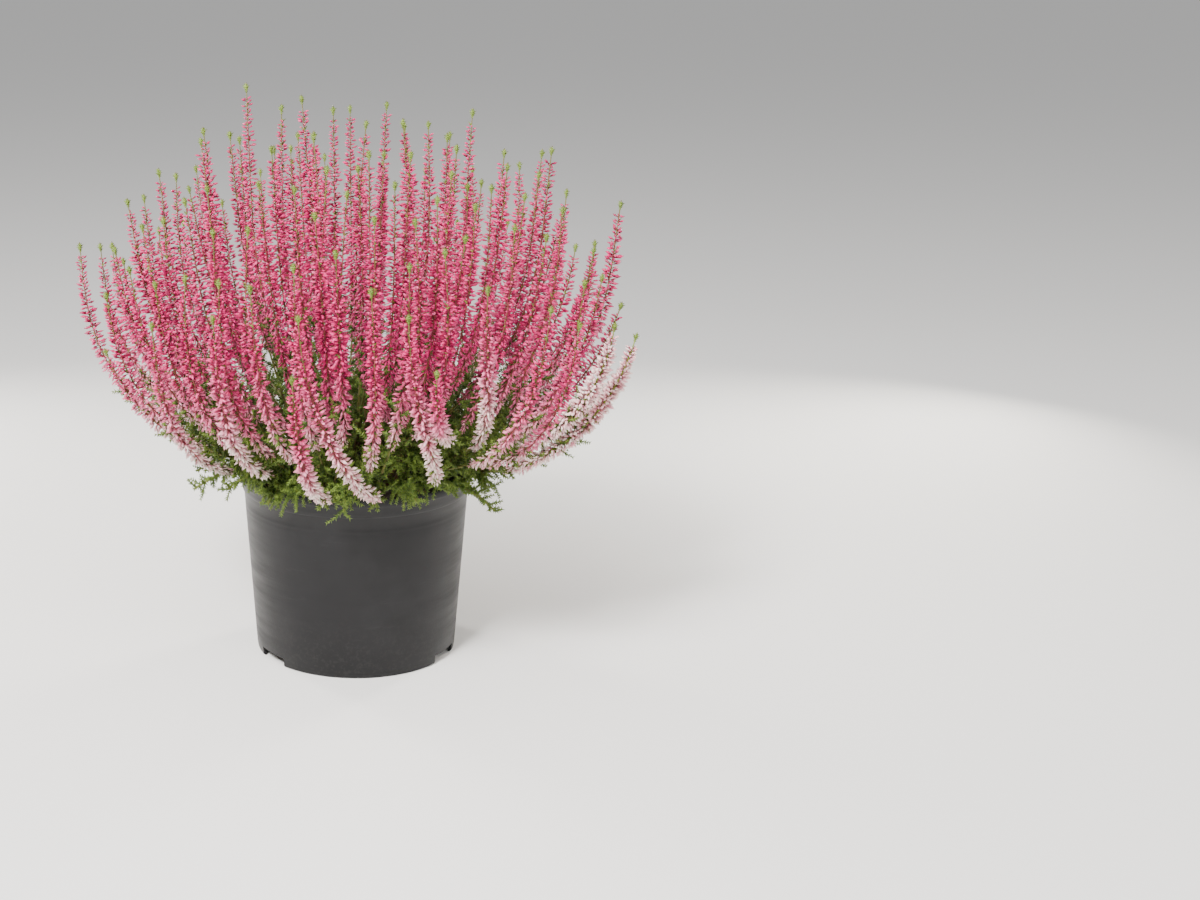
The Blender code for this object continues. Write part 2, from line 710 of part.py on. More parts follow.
class Twig:
    """A leafy twig: an arch from its root, by a middle point, to its tip."""

    def __init__(self, start, middle, end):
        self.start = start
        self.middle = middle
        self.end = end
        course = arch(start, middle, end, np.linspace(0.0, 1.0, COURSE_STEPS))
        self.length = np.linalg.norm(np.diff(course, axis=0), axis=1).sum()

    def samples(self):
        steps = np.linspace(0.0, 1.0, round(self.length / SAMPLE_STEP))
        reach = np.where(steps * self.length < self.length - TWIG_TIP, LEAF_REACH, TWIG_CORE)
        reach[steps < LEAFY_FROM] = TUFT_RADIUS
        return arch(self.start, self.middle, self.end, steps), reach

    def mesh(self, foot):
        """The twig as one closed rod; foot is the stem below it in the soil, or None."""
        leafy_to = 1.0 - TWIG_TIP / self.length
        tiers = max(FEWEST_TIERS, round(self.length * (leafy_to - LEAFY_FROM) / LEAF_STEP))
        steps = np.concatenate(([0.0], np.linspace(LEAFY_FROM, leafy_to, tiers + 1), [1.0]))
        points = arch(self.start, self.middle, self.end, steps)
        radii = np.full(len(steps), TWIG_CORE)
        reaches = np.where((steps >= LEAFY_FROM) & (steps < leafy_to - ROUNDING), LEAF_REACH, 0.0)
        if foot is None:
            radii[0] = ROOT_RADIUS
        else:
            points = np.concatenate(([foot], points))
            radii = np.concatenate(([TUFT_RADIUS, TUFT_RADIUS], radii[1:]))
            reaches = np.insert(reaches, 0, 0.0)
        return budding_rod(points, radii, reaches, LEAF_PLACE)


def is_clear(course, reach, obstacles):
    places, reaches = obstacles
    apart = np.linalg.norm(course[:, None] - places[None], axis=2)
    return not np.any(apart < reach[:, None] + reaches[None] + CLEARANCE)


def with_more(obstacles, *more):
    places = np.concatenate([obstacles[0]] + [course for course, _ in more])
    reaches = np.concatenate([obstacles[1]] + [reach for _, reach in more])
    return places, reaches


def outer_twig(start, turn, place, rng):
    """A twig over the rim, hanging a little or rising beside the low shoots."""
    turn += OUTER_FAN * (place - 0.5 + rng.uniform(-1.0, 1.0) * TWIG_JITTER / TWIGS)
    outward = np.array((math.cos(turn), math.sin(turn), 0.0))
    height = rng.uniform(*OUTER_TWIG_HEIGHTS)
    end = outward * rng.uniform(*OUTER_TWIG_REACHES)
    end[2] = height
    middle = outward * RIM_RADIUS
    middle[2] = max(height, POT_HEIGHT) + OVER_RIM
    return Twig(start, middle, end)


def inner_twig(start, turn, place, rng):
    """A twig that rises among the stems."""
    turn += 2.0 * math.pi * place + rng.uniform(-1.0, 1.0) * TWIG_JITTER
    outward = np.array((math.cos(turn), math.sin(turn), 0.0))
    end = start + outward * rng.uniform(*INNER_TWIG_REACHES)
    end[2] = rng.uniform(*INNER_TWIG_HEIGHTS)
    middle = start + (end - start) * TWIG_MIDDLE
    middle[2] = (start[2] + end[2]) / 2.0
    return Twig(start, middle, end)


def grow_twigs(base, turn, grow, obstacles, rng):
    """Up to TWIGS twigs from one base, each in its own sector, clear of the obstacles."""
    twigs = []
    for place in (np.arange(TWIGS) + 0.5) / TWIGS:
        for _ in range(TWIG_TRIES):
            start = base
            if twigs:
                first = twigs[0]
                step = np.array([TWIG_FORK * (1 + len(twigs))])
                start = arch(first.start, first.middle, first.end, step)[0]
            twig = grow(start, turn, place, rng)
            if is_clear(*twig.samples(), obstacles):
                twigs.append(twig)
                break
    return twigs


def make_tufts(obstacles):
    """Bases and twigs of the tufts, clear of the sprays, of the rim and of each other."""
    rng = np.random.default_rng(SEED + 1)
    plans = []
    for k in range(OUTER_TUFTS):
        plans.append((2.0 * math.pi * (k + OUTER_TUFT_TURN) / OUTER_TUFTS, OUTER_TUFT_RADIUS, outer_twig))
    for k in range(INNER_TUFTS):
        plans.append((2.0 * math.pi * (k + INNER_TUFT_TURN) / INNER_TUFTS, INNER_TUFT_RADIUS, inner_twig))
    tufts = []
    for plan_turn, plan_radius, grow in plans:
        best = []
        for _ in range(BASE_TRIES):
            across = plan_radius + rng.uniform(-1.0, 1.0) * BASE_SHIFT
            turn = plan_turn + rng.uniform(-1.0, 1.0) * BASE_TURN
            base = np.array((math.cos(turn) * across, math.sin(turn) * across, STEM_TOP_IN_HOLE))
            if is_clear(*samples_of_stem(base, TUFT_RADIUS), obstacles):
                twigs = grow_twigs(base, turn, grow, obstacles, rng)
                if len(twigs) > len(best):
                    best = twigs
            if len(best) == TWIGS:
                break
        if best:
            tufts.append(best)
            obstacles = with_more(obstacles, samples_of_stem(best[0].start, TUFT_RADIUS),
                                  *[twig.samples() for twig in best])
    return tufts


def main():
    for thing in list(bpy.data.objects):
        bpy.data.objects.remove(thing)
    make_pot()
    flower = make_material("heather_flower", FLOWER_PINK, FLOWER_ROUGHNESS)
    leaf = make_material("heather_leaf", LEAF_GREEN, LEAF_ROUGHNESS)
    feet = []
    obstacles = rim_samples()
    for number, shoots in enumerate(make_sprays()):
        pieces = []
        for shoot in shoots:
            obstacles = with_more(obstacles, samples_of_shoot(shoot))
            pieces.append(add_object("shoot", *shoot_mesh(shoot, shoots[0]), flower))
        foot = leader_course(shoots[0])[1][0]
        feet.append((foot, TRUNK_RADIUS))
        obstacles = with_more(obstacles, samples_of_stem(foot, TRUNK_RADIUS))
        join_pieces("spray_%02d" % (number + 1), pieces)
    for number, twigs in enumerate(make_tufts(obstacles)):
        foot = twigs[0].start.copy()
        foot[2] = soil_height(foot[0], foot[1]) - HOLE_DEPTH + GAP
        feet.append((foot, TUFT_RADIUS))
        pieces = []
        for twig in twigs:
            pieces.append(add_object("twig", *twig.mesh(None if pieces else foot), leaf))
        join_pieces("leafy_tuft_%02d" % (number + 1), pieces)
    make_soil(feet)


main()
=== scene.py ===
"""Potted heather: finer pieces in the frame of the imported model.

The flowering shoots and leafy twigs follow the same fountain of arches as the solids that they
replace. Each flower, leaf and tip is a small form set on its stem by a rule.
"""

import math

import bpy
import numpy as np
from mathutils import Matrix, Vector


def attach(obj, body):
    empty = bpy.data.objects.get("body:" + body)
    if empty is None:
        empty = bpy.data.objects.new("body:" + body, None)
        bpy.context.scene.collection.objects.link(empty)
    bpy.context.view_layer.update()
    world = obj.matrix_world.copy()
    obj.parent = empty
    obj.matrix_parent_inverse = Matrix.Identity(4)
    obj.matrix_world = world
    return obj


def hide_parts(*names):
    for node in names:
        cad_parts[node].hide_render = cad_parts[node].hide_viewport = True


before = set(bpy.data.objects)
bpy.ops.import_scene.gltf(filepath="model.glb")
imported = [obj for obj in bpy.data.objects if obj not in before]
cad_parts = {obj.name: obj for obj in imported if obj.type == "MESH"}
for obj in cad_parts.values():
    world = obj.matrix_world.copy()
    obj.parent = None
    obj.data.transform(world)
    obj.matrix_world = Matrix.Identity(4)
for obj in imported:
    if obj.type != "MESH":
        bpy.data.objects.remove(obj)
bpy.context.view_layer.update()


# The fountain and the layout of the shoots, as in the solids

MM = 0.001
GOLDEN_TURN = math.pi * (3.0 - math.sqrt(5.0))
RIM_RADIUS = 70.0 * MM
POT_HEIGHT = 112.0 * MM
LIP_HEIGHT = 4.5 * MM
LIP_WIDTH = 1.3 * MM
BAND_HEIGHT = 11.2 * MM
BODY_TOP_RADIUS = 67.0 * MM
BODY_FOOT_RADIUS = 60.4 * MM
WALL = 1.3 * MM
FOOT_EDGE = 2.6 * MM
FOOT_FLAT = 1.1 * MM
FOOT_SLOPE = 1.3 * MM
FOOT_ROUND = 0.3 * MM
SHOULDER_STEP = 0.9 * MM
SHOULDER_ROUND = 1.2 * MM
LIP_ROUND = 0.5 * MM
PLATE_BOTTOM = 4.0 * MM
PLATE_TOP = 5.4 * MM
NOTCH_ANGLES = (-56.0, 62.0, 183.0)
NOTCH_WIDTH = 22.0
NOTCH_HEIGHT = 5.6 * MM
NOTCH_DEPTH = 12.0 * MM
GAP = 0.3 * MM
SOIL_EDGE_HEIGHT = 98.5 * MM
SOIL_SAG = 1.0 * MM
SOIL_CROWN = 1.6 * MM
SOIL_RELIEF = 0.8 * MM
SOIL_WAVES = (95.0, 82.0, 31.0)
HOLE_DEPTH = 14.0 * MM
STEM_TOP_IN_HOLE = 103.5 * MM
FORK_HEIGHT = 105.0 * MM
FORK_RISE = 5.0 * MM
BASE_SPREAD = 42.0 * MM
FIRST_ANGLE = math.radians(66.0)
LAST_ANGLE = math.radians(6.0)
FLATTEST_ANGLE = math.radians(80.0)
BEND_START = 30.0 * MM
BEND_END = 185.0 * MM
LEAN_LIMIT = 1.6
LEAN_STEPS = 161
DISTANCE_STEPS = 320
BELOW_LAST = 1.001
SMALLEST_LEAN = 1e-6
SIGHT_DISTANCE = 1.0
SIGHT_HEIGHT = 0.399
OUTLINE_TIPS = (
    (-159, 247, 10), (-149, 245, 30), (-142, 244, -42), (-128, 246, 14), (-122, 275, 44),
    (-116, 288, -22), (-103, 287, 20), (-87, 312, -6), (-72, 310, 26), (-62, 337, -4),
    (-47, 302, 32), (-42, 325, -26), (-31, 330, 8), (-24, 310, -40), (-13, 324, 26),
    (1, 291, -34), (6, 316, 6), (16, 299, 36), (27, 315, -14), (52, 309, 10),
    (64, 281, -34), (72, 283, 30), (86, 300, -4), (111, 302, 10), (121, 278, -26),
    (119, 266, 40), (156, 268, -8), (128, 246, 14), (137, 231, 48), (143, 229, -40),
    (163, 207, -2), (152, 200, -58), (-145, 212, 38),
)
FRONT_TIPS = (
    (-65, 256), (-84, 248), (-24, 268), (-12, 243), (12, 220), (27, 265), (-5, 277),
    (25, 281), (-31, 281), (-51, 283), (-46, 302), (28, 298), (15, 299), (-19, 287), (-27, 309),
    (89, 236), (96, 253), (106, 245), (107, 219), (129, 227), (119, 268), (64, 281),
    (70, 273), (56, 269), (42, 257), (77, 262), (-125, 214), (-144, 212), (-131, 229),
    (-96, 212), (-106, 217), (-62, 222), (-36, 232), (45, 232), (66, 244),
)
DOME_RADII = (0, 60, 90, 120, 150, 160, 166, 170)
DOME_HEIGHTS = (325, 325, 305, 280, 250, 225, 185, 120)
DOME_FRONT = -175
DOME_BACK = 50
LOW_SHOOTS = (
    ((13, 92, -80), (-34, 205, -153)), ((-17, 92, -80), (-38, 168, -159)),
    ((-53, 107, -68), (-84, 205, -139)), ((47, 103, -72), (31, 205, -153)),
    ((70, 123, -66), (77, 222, -136)), ((-72, 108, -45), (-120, 200, -120)),
    ((89, 109, -35), (165, 194, -34)), ((55, 128, -76), (48, 171, -157)),
    ((88, 125, 8), (162, 178, 0)), ((-88, 121, -12), (-148, 184, -44)),
)
LOW_SAMPLES = 6
RULE_SHOOTS = 112
RULE_LEAN = 1.10
CENTRE_LENGTH = 214.0 * MM
EDGE_LENGTH = 167.0 * MM
LENGTH_JITTER = 14.0 * MM
CLOSEST_LEANS = 0.13
TAKEN_LEANS = 0.11
SPREAD_ROUNDS = 60
SEED = 15
SPRAYS = 26
GROUP_ROUNDS = 12
TRUNK_RADIUS = 1.9 * MM
TRUNK_TAPER = 80.0 * MM
STEM_RADIUS = 1.2 * MM
FIRST_FORK = 7.0 * MM
FORK_STEP = 6.0 * MM
SLIDE_LENGTH = 74.0 * MM
BOW = 0.022
FLORET_REACH = 5.4 * MM
TIP_LENGTH = 9.0 * MM
FLOWERS_FROM = 0.37
OUTER_FLOWERS_FROM = 0.34
FLOWERS_JITTER = 0.04
INNER_LEAN = 0.7
OUTER_LEAN = 1.2
BARE_AFTER_FORK = 14.0 * MM
OUTER_TUFTS = 10
OUTER_TUFT_RADIUS = 55.0 * MM
OUTER_TUFT_TURN = 0.35
INNER_TUFTS = 4
INNER_TUFT_RADIUS = 29.0 * MM
INNER_TUFT_TURN = 0.1
TUFT_RADIUS = 1.5 * MM
TWIGS = 4
TWIG_TRIES = 9
LEAF_REACH = 3.0 * MM
TWIG_CORE = 1.0 * MM
TWIG_TIP = 5.0 * MM
LEAFY_FROM = 0.3
OUTER_FAN = 1.3
OUTER_TWIG_REACHES = (80.0 * MM, 114.0 * MM)
OUTER_TWIG_HEIGHTS = (102.0 * MM, 146.0 * MM)
OVER_RIM = 14.0 * MM
INNER_TWIG_REACHES = (10.0 * MM, 32.0 * MM)
INNER_TWIG_HEIGHTS = (130.0 * MM, 168.0 * MM)
TWIG_MIDDLE = 0.4
TWIG_JITTER = 0.5
TWIG_FORK = 0.05
COURSE_STEPS = 30
BASE_TRIES = 6
BASE_SHIFT = 4.0 * MM
BASE_TURN = 0.3
CLEARANCE = 0.5 * MM
SAMPLE_STEP = 2.5 * MM


def smooth(value):
    value = np.clip(value, 0.0, 1.0)
    return value * value * (3.0 - 2.0 * value)


def fountain_table():
    """Radius and height of every arch: one row for each lean, one column for each millimetre."""
    lean = np.linspace(0.0, LEAN_LIMIT, LEAN_STEPS)[:, None]
    distance = np.arange(DISTANCE_STEPS)[None, :] * MM
    first = np.minimum(FIRST_ANGLE * lean, FLATTEST_ANGLE)
    last = LAST_ANGLE * lean
    bend = smooth((distance - BEND_START) / (BEND_END - BEND_START))
    angle = first + (last - first) * bend
    radius = BASE_SPREAD * lean + np.cumsum(np.sin(angle), axis=1) * MM
    height = FORK_HEIGHT + FORK_RISE * lean + np.cumsum(np.cos(angle), axis=1) * MM
    return radius, height


RADIUS_TABLE, HEIGHT_TABLE = fountain_table()


def in_fountain(leans, distances):
    """World points at these leans (n, 2) and distances (n,)."""
    size = np.linalg.norm(leans, axis=1)
    row = np.clip(size / LEAN_LIMIT * (LEAN_STEPS - 1), 0, LEAN_STEPS - BELOW_LAST)
    column = np.clip(distances / MM, 0, DISTANCE_STEPS - BELOW_LAST)
    low_row = row.astype(int)
    low_column = column.astype(int)
    up = (row - low_row)[:, None]
    along = (column - low_column)[:, None]
    tables = np.stack((RADIUS_TABLE, HEIGHT_TABLE), axis=2)
    near = tables[low_row, low_column] * (1 - along) + tables[low_row, low_column + 1] * along
    far = tables[low_row + 1, low_column] * (1 - along) + tables[low_row + 1, low_column + 1] * along
    radius, height = (near * (1 - up) + far * up).T
    safe = np.maximum(size, SMALLEST_LEAN)
    return np.stack((leans[:, 0] / safe * radius, leans[:, 1] / safe * radius, height), axis=1)


def lean_through(point):
    """Lean and distance of the arch that ends at a point."""
    across = math.hypot(point[0], point[1])
    radii = []
    for radius, height in zip(RADIUS_TABLE, HEIGHT_TABLE):
        radii.append(np.interp(point[2], height, radius))
    size = np.interp(across, radii, np.linspace(0.0, LEAN_LIMIT, LEAN_STEPS))
    row = int(size / LEAN_LIMIT * (LEAN_STEPS - 1))
    distance = np.interp(point[2], HEIGHT_TABLE[row], np.arange(DISTANCE_STEPS)) * MM
    return size * np.array(point[:2]) / across, distance


def seen_from_front(across, up, behind):
    """The point this far behind the axis that covers (across, up) for an eye in front. The
    three are in millimetres."""
    scale = 1.0 + behind * MM / SIGHT_DISTANCE
    return across * MM * scale, behind * MM, SIGHT_HEIGHT + (up * MM - SIGHT_HEIGHT) * scale


def on_dome(across, up):
    """The first point of the dome that an eye in front sees at (across, up)."""
    for behind in range(DOME_FRONT, DOME_BACK):
        point = seen_from_front(across, up, behind)
        if point[2] / MM <= np.interp(math.hypot(point[0], point[1]) / MM, DOME_RADII, DOME_HEIGHTS):
            break
    return point


def spread(leans, fixed):
    """Push leans that are too close to each other or to the fixed ones."""
    leans = leans.copy()
    for _ in range(SPREAD_ROUNDS):
        others = np.concatenate((leans, fixed))
        apart = leans[:, None, :] - others[None, :, :]
        distance = np.linalg.norm(apart, axis=2) + np.eye(len(leans), len(others))
        push = np.maximum(CLOSEST_LEANS - distance, 0.0) / distance
        leans += 0.5 * (apart * push[:, :, None]).sum(axis=1)
    return leans


def low_plans():
    """The low shoots: lean and distance of their lowest florets, lean and distance of their tips."""
    plans = []
    for foot, tip in LOW_SHOOTS:
        plans.append((*lean_through(seen_from_front(*foot)), *lean_through(seen_from_front(*tip))))
    return plans


def lay_out_shoots():
    """Every flowering shoot without its spray: lean, sweep, length, flowers' start and bow."""
    rng = np.random.default_rng(SEED)
    leans = []
    lengths = []
    for tip in OUTLINE_TIPS:
        lean, length = lean_through(seen_from_front(*tip))
        leans.append(lean)
        lengths.append(length)
    for tip in FRONT_TIPS:
        lean, length = lean_through(on_dome(*tip))
        leans.append(lean)
        lengths.append(length)
    low = low_plans()
    fixed = []
    for low_lean, _, tip_lean, _ in low:
        for share in np.linspace(0.0, 1.0, LOW_SAMPLES):
            fixed.append(low_lean + (tip_lean - low_lean) * share)
    for k in range(RULE_SHOOTS):
        size = RULE_LEAN * math.sqrt((k + 0.5) / RULE_SHOOTS)
        turn = k * GOLDEN_TURN
        lean = np.array((math.cos(turn), math.sin(turn))) * size
        jitter = rng.uniform(-1.0, 1.0)
        if min(np.linalg.norm(lean - other) for other in leans + fixed) < TAKEN_LEANS:
            continue
        leans.append(lean)
        lengths.append(CENTRE_LENGTH + (EDGE_LENGTH - CENTRE_LENGTH) * (size / RULE_LEAN) ** 3
                       + jitter * LENGTH_JITTER)
    leans = spread(np.array(leans), np.array(fixed))
    sizes = np.linalg.norm(leans, axis=1)
    outer = smooth((sizes - INNER_LEAN) / (OUTER_LEAN - INNER_LEAN))
    share = FLOWERS_FROM + (OUTER_FLOWERS_FROM - FLOWERS_FROM) * outer
    share += rng.uniform(-FLOWERS_JITTER, FLOWERS_JITTER, len(sizes))
    bows = rng.normal(0.0, BOW, (len(sizes), 2))
    plans = []
    for low_lean, low_from, tip_lean, length in low:
        plans.append((low_lean, tip_lean - low_lean, length, low_from, np.zeros(2)))
    for k in range(len(leans)):
        plans.append((leans[k], np.zeros(2), lengths[k], share[k] * lengths[k], bows[k]))
    return plans


def group_shoots(leans):
    """Share the shoots out among the sprays, each with its nearest."""
    order = np.arange(SPRAYS)
    turns = order * GOLDEN_TURN
    sizes = RULE_LEAN * np.sqrt((order + 0.5) / SPRAYS)
    centres = np.stack((np.cos(turns), np.sin(turns)), axis=1) * sizes[:, None]
    for _ in range(GROUP_ROUNDS):
        nearest = np.argmin(np.linalg.norm(leans[:, None] - centres[None], axis=2), axis=1)
        for k in range(SPRAYS):
            if np.any(nearest == k):
                centres[k] = leans[nearest == k].mean(axis=0)
    return centres, nearest


class Shoot:
    """A shoot's course through the fountain, from where it forks off to its tip. It slides from
    its root's lean to its own, and from there it may sweep to another."""

    def __init__(self, root, fork, plan):
        lean, sweep, length, flowers_from, bow = plan
        self.root = root
        self.fork = fork
        self.lean = lean
        self.sweep = sweep
        self.length = length
        self.bow = bow
        self.sweeps = bool(np.any(sweep))
        self.slide = flowers_from - fork if self.sweeps else SLIDE_LENGTH
        self.flowers_from = flowers_from if self.sweeps else max(flowers_from, fork + BARE_AFTER_FORK)

    def lean_at(self, distances):
        slide = np.clip((distances - self.fork) / self.slide, 0.0, 1.0)
        slide = (1.0 - (1.0 - slide) ** 2)[:, None]
        span = np.clip((distances - self.fork) / (self.length - self.fork), 0.0, 1.0)
        swept = np.clip((distances - self.flowers_from) / (self.length - self.flowers_from), 0.0, 1.0)
        swept = (1.0 - (1.0 - swept) ** 2)[:, None]
        straight = self.root + (self.lean - self.root) * slide + self.sweep * swept
        return straight + self.bow * np.sin(math.pi * span)[:, None]

    def points(self, distances):
        return in_fountain(self.lean_at(distances), distances)


def make_sprays():
    """Lists of shoots, one list for each spray. The first shoot of a list is its leader."""
    plans = lay_out_shoots()
    leans = np.array([plan[0] for plan in plans])
    centres, nearest = group_shoots(leans)
    sprays = []
    for k in range(SPRAYS):
        members = np.flatnonzero(nearest == k)
        if len(members) == 0:
            continue
        steps = np.linalg.norm(leans[members] - centres[k], axis=1)
        steps[members < len(LOW_SHOOTS)] -= LEAN_LIMIT
        members = members[np.argsort(steps)]
        leader = Shoot(centres[k], 0.0, plans[members[0]])
        shoots = [leader]
        for place, member in enumerate(members[1:]):
            fork = FIRST_FORK + place * FORK_STEP
            shoots.append(Shoot(leader.lean_at(np.array([fork]))[0], fork, plans[member]))
        sprays.append(shoots)
    return sprays


def samples_of_shoot(shoot):
    """Points along a shoot and how far it reaches round each of them."""
    distances = np.arange(shoot.fork, shoot.length, SAMPLE_STEP)
    reach = np.where(distances > shoot.flowers_from - SAMPLE_STEP, FLORET_REACH, STEM_RADIUS)
    reach[distances < 2.0 * FIRST_FORK] = TRUNK_RADIUS
    return shoot.points(distances), reach


def samples_of_stem(base, radius):
    """The same for a stem where it stands in its hole."""
    heights = np.arange(SOIL_EDGE_HEIGHT - HOLE_DEPTH, STEM_TOP_IN_HOLE + MM, SAMPLE_STEP)
    course = np.stack((np.full(len(heights), base[0]), np.full(len(heights), base[1]), heights), axis=1)
    return course, np.full(len(heights), radius + 2.0 * GAP)


def rim_samples():
    """The same round the rim of the pot."""
    turns = np.arange(0.0, 2.0 * math.pi, SAMPLE_STEP / RIM_RADIUS)
    heights = np.full(len(turns), POT_HEIGHT - LIP_WIDTH)
    rim = np.stack((np.cos(turns) * RIM_RADIUS, np.sin(turns) * RIM_RADIUS, heights), axis=1)
    return rim, np.full(len(turns), 2.0 * LIP_WIDTH)


def arch(start, middle, end, steps):
    steps = steps[:, None]
    return (1 - steps) ** 2 * start + 2 * steps * (1 - steps) * middle + steps ** 2 * end


class Twig:
    """A leafy twig: an arch from its root, by a middle point, to its tip."""

    def __init__(self, start, middle, end):
        self.start = start
        self.middle = middle
        self.end = end
        course = self.points(np.linspace(0.0, 1.0, COURSE_STEPS))
        self.length = np.linalg.norm(np.diff(course, axis=0), axis=1).sum()

    def points(self, steps):
        return arch(self.start, self.middle, self.end, steps)

    def samples(self):
        steps = np.linspace(0.0, 1.0, round(self.length / SAMPLE_STEP))
        reach = np.where(steps * self.length < self.length - TWIG_TIP, LEAF_REACH, TWIG_CORE)
        reach[steps < LEAFY_FROM] = TUFT_RADIUS
        return self.points(steps), reach


def is_clear(course, reach, obstacles):
    places, reaches = obstacles
    apart = np.linalg.norm(course[:, None] - places[None], axis=2)
    return not np.any(apart < reach[:, None] + reaches[None] + CLEARANCE)


def with_more(obstacles, *more):
    places = np.concatenate([obstacles[0]] + [course for course, _ in more])
    reaches = np.concatenate([obstacles[1]] + [reach for _, reach in more])
    return places, reaches


def level_direction(turn):
    return np.array((math.cos(turn), math.sin(turn), 0.0))


def outer_twig(start, turn, place, rng):
    """A twig over the rim, hanging a little or rising beside the low shoots."""
    turn += OUTER_FAN * (place - 0.5 + rng.uniform(-1.0, 1.0) * TWIG_JITTER / TWIGS)
    outward = level_direction(turn)
    height = rng.uniform(*OUTER_TWIG_HEIGHTS)
    end = outward * rng.uniform(*OUTER_TWIG_REACHES)
    end[2] = height
    middle = outward * RIM_RADIUS
    middle[2] = max(height, POT_HEIGHT) + OVER_RIM
    return Twig(start, middle, end)


def inner_twig(start, turn, place, rng):
    """A twig that rises among the stems."""
    turn += 2.0 * math.pi * place + rng.uniform(-1.0, 1.0) * TWIG_JITTER
    outward = level_direction(turn)
    end = start + outward * rng.uniform(*INNER_TWIG_REACHES)
    end[2] = rng.uniform(*INNER_TWIG_HEIGHTS)
    middle = start + (end - start) * TWIG_MIDDLE
    middle[2] = (start[2] + end[2]) / 2.0
    return Twig(start, middle, end)


def grow_twigs(base, turn, grow, obstacles, rng):
    """Up to TWIGS twigs from one base, each in its own sector, clear of the obstacles."""
    twigs = []
    for place in (np.arange(TWIGS) + 0.5) / TWIGS:
        for _ in range(TWIG_TRIES):
            start = base
            if twigs:
                start = twigs[0].points(np.array([TWIG_FORK * (1 + len(twigs))]))[0]
            twig = grow(start, turn, place, rng)
            if is_clear(*twig.samples(), obstacles):
                twigs.append(twig)
                break
    return twigs


def make_tufts(obstacles):
    """Bases and twigs of the tufts, clear of the sprays, of the rim and of each other."""
    rng = np.random.default_rng(SEED + 1)
    plans = []
    for k in range(OUTER_TUFTS):
        plans.append((2.0 * math.pi * (k + OUTER_TUFT_TURN) / OUTER_TUFTS, OUTER_TUFT_RADIUS, outer_twig))
    for k in range(INNER_TUFTS):
        plans.append((2.0 * math.pi * (k + INNER_TUFT_TURN) / INNER_TUFTS, INNER_TUFT_RADIUS, inner_twig))
    tufts = []
    for plan_turn, plan_radius, grow in plans:
        best = []
        for _ in range(BASE_TRIES):
            across = plan_radius + rng.uniform(-1.0, 1.0) * BASE_SHIFT
            turn = plan_turn + rng.uniform(-1.0, 1.0) * BASE_TURN
            base = np.array((math.cos(turn) * across, math.sin(turn) * across, STEM_TOP_IN_HOLE))
            if is_clear(*samples_of_stem(base, TUFT_RADIUS), obstacles):
                twigs = grow_twigs(base, turn, grow, obstacles, rng)
                if len(twigs) > len(best):
                    best = twigs
            if len(best) == TWIGS:
                break
        if best:
            tufts.append(best)
            obstacles = with_more(obstacles, samples_of_stem(best[0].start, TUFT_RADIUS),
                                  *[twig.samples() for twig in best])
    return tufts


def inner_radius(height):
    """Radius of the pot's inner wall below the shoulder."""
    share = (height - PLATE_TOP) / (POT_HEIGHT - BAND_HEIGHT - PLATE_TOP)
    return BODY_FOOT_RADIUS - WALL + (BODY_TOP_RADIUS - BODY_FOOT_RADIUS) * share


def soil_height(x, y):
    across = np.hypot(x, y) / BODY_TOP_RADIUS
    ripple = np.sin(x * SOIL_WAVES[0]) * np.cos(y * SOIL_WAVES[1] + x * SOIL_WAVES[2])
    return SOIL_EDGE_HEIGHT + SOIL_CROWN * (1.0 - across * across) + SOIL_RELIEF * ripple


# Mesh building

SHORTEST = 1e-9
ODD_AXIS = np.array((0.31, 0.95, 0.05))


def put(name, data):
    """A new object in the scene."""
    thing = bpy.data.objects.new(name, data)
    bpy.context.scene.collection.objects.link(thing)
    return thing


def put_mesh(name, vertices, faces):
    mesh = bpy.data.meshes.new(name)
    mesh.from_pydata(vertices, [], faces)
    return put(name, mesh)


class Body:
    """Vertices, triangles and a colour for each vertex, gathered piece by piece."""

    def __init__(self):
        self.vertices = []
        self.faces = []
        self.colours = []
        self.count = 0

    def add(self, vertices, faces, colours):
        self.vertices.append(vertices.reshape(-1, 3))
        self.faces.append(faces.reshape(-1, 3) + self.count)
        self.colours.append(colours.reshape(-1, 3))
        self.count += self.vertices[-1].shape[0]

    def make(self, name, material):
        thing = put_mesh(name, np.concatenate(self.vertices), np.concatenate(self.faces))
        mesh = thing.data
        mesh.validate()
        tint = mesh.color_attributes.new("tint", "FLOAT_COLOR", "POINT")
        rgba = np.ones((self.count, 4), dtype=np.float32)
        rgba[:, :3] = np.clip(np.concatenate(self.colours), 0.0, 1.0)
        tint.data.foreach_set("color", rgba.ravel())
        mesh.shade_smooth()
        mesh.materials.append(material)
        return thing


def mix(first, second, share):
    return first + (second - first) * share


def unit_rows(vectors):
    return vectors / np.maximum(np.linalg.norm(vectors, axis=-1, keepdims=True), SHORTEST)


def rows_at(where, distances, rows):
    """Vectors that are known at some distances along a course, at other distances."""
    return np.stack([np.interp(where, distances, rows[:, axis]) for axis in range(3)], axis=-1)


def run_along(points):
    """Distance from the start of a course to each of its points."""
    return np.concatenate(([0.0], np.cumsum(np.linalg.norm(np.diff(points, axis=0), axis=1))))


def around(turns, across, other):
    """Directions off a course, at these turns from its first side direction to its second."""
    return np.cos(turns)[..., None] * across + np.sin(turns)[..., None] * other


def frames_along(points):
    """Tangent and two side directions at each point of a course, turning as little as possible."""
    tangents = unit_rows(np.gradient(points, axis=0))
    side = unit_rows(np.cross(tangents[0], ODD_AXIS))
    sides = []
    for tangent in tangents:
        side = unit_rows(side - tangent * np.dot(side, tangent))
        sides.append(side)
    sides = np.array(sides)
    return tangents, sides, np.cross(tangents, sides)


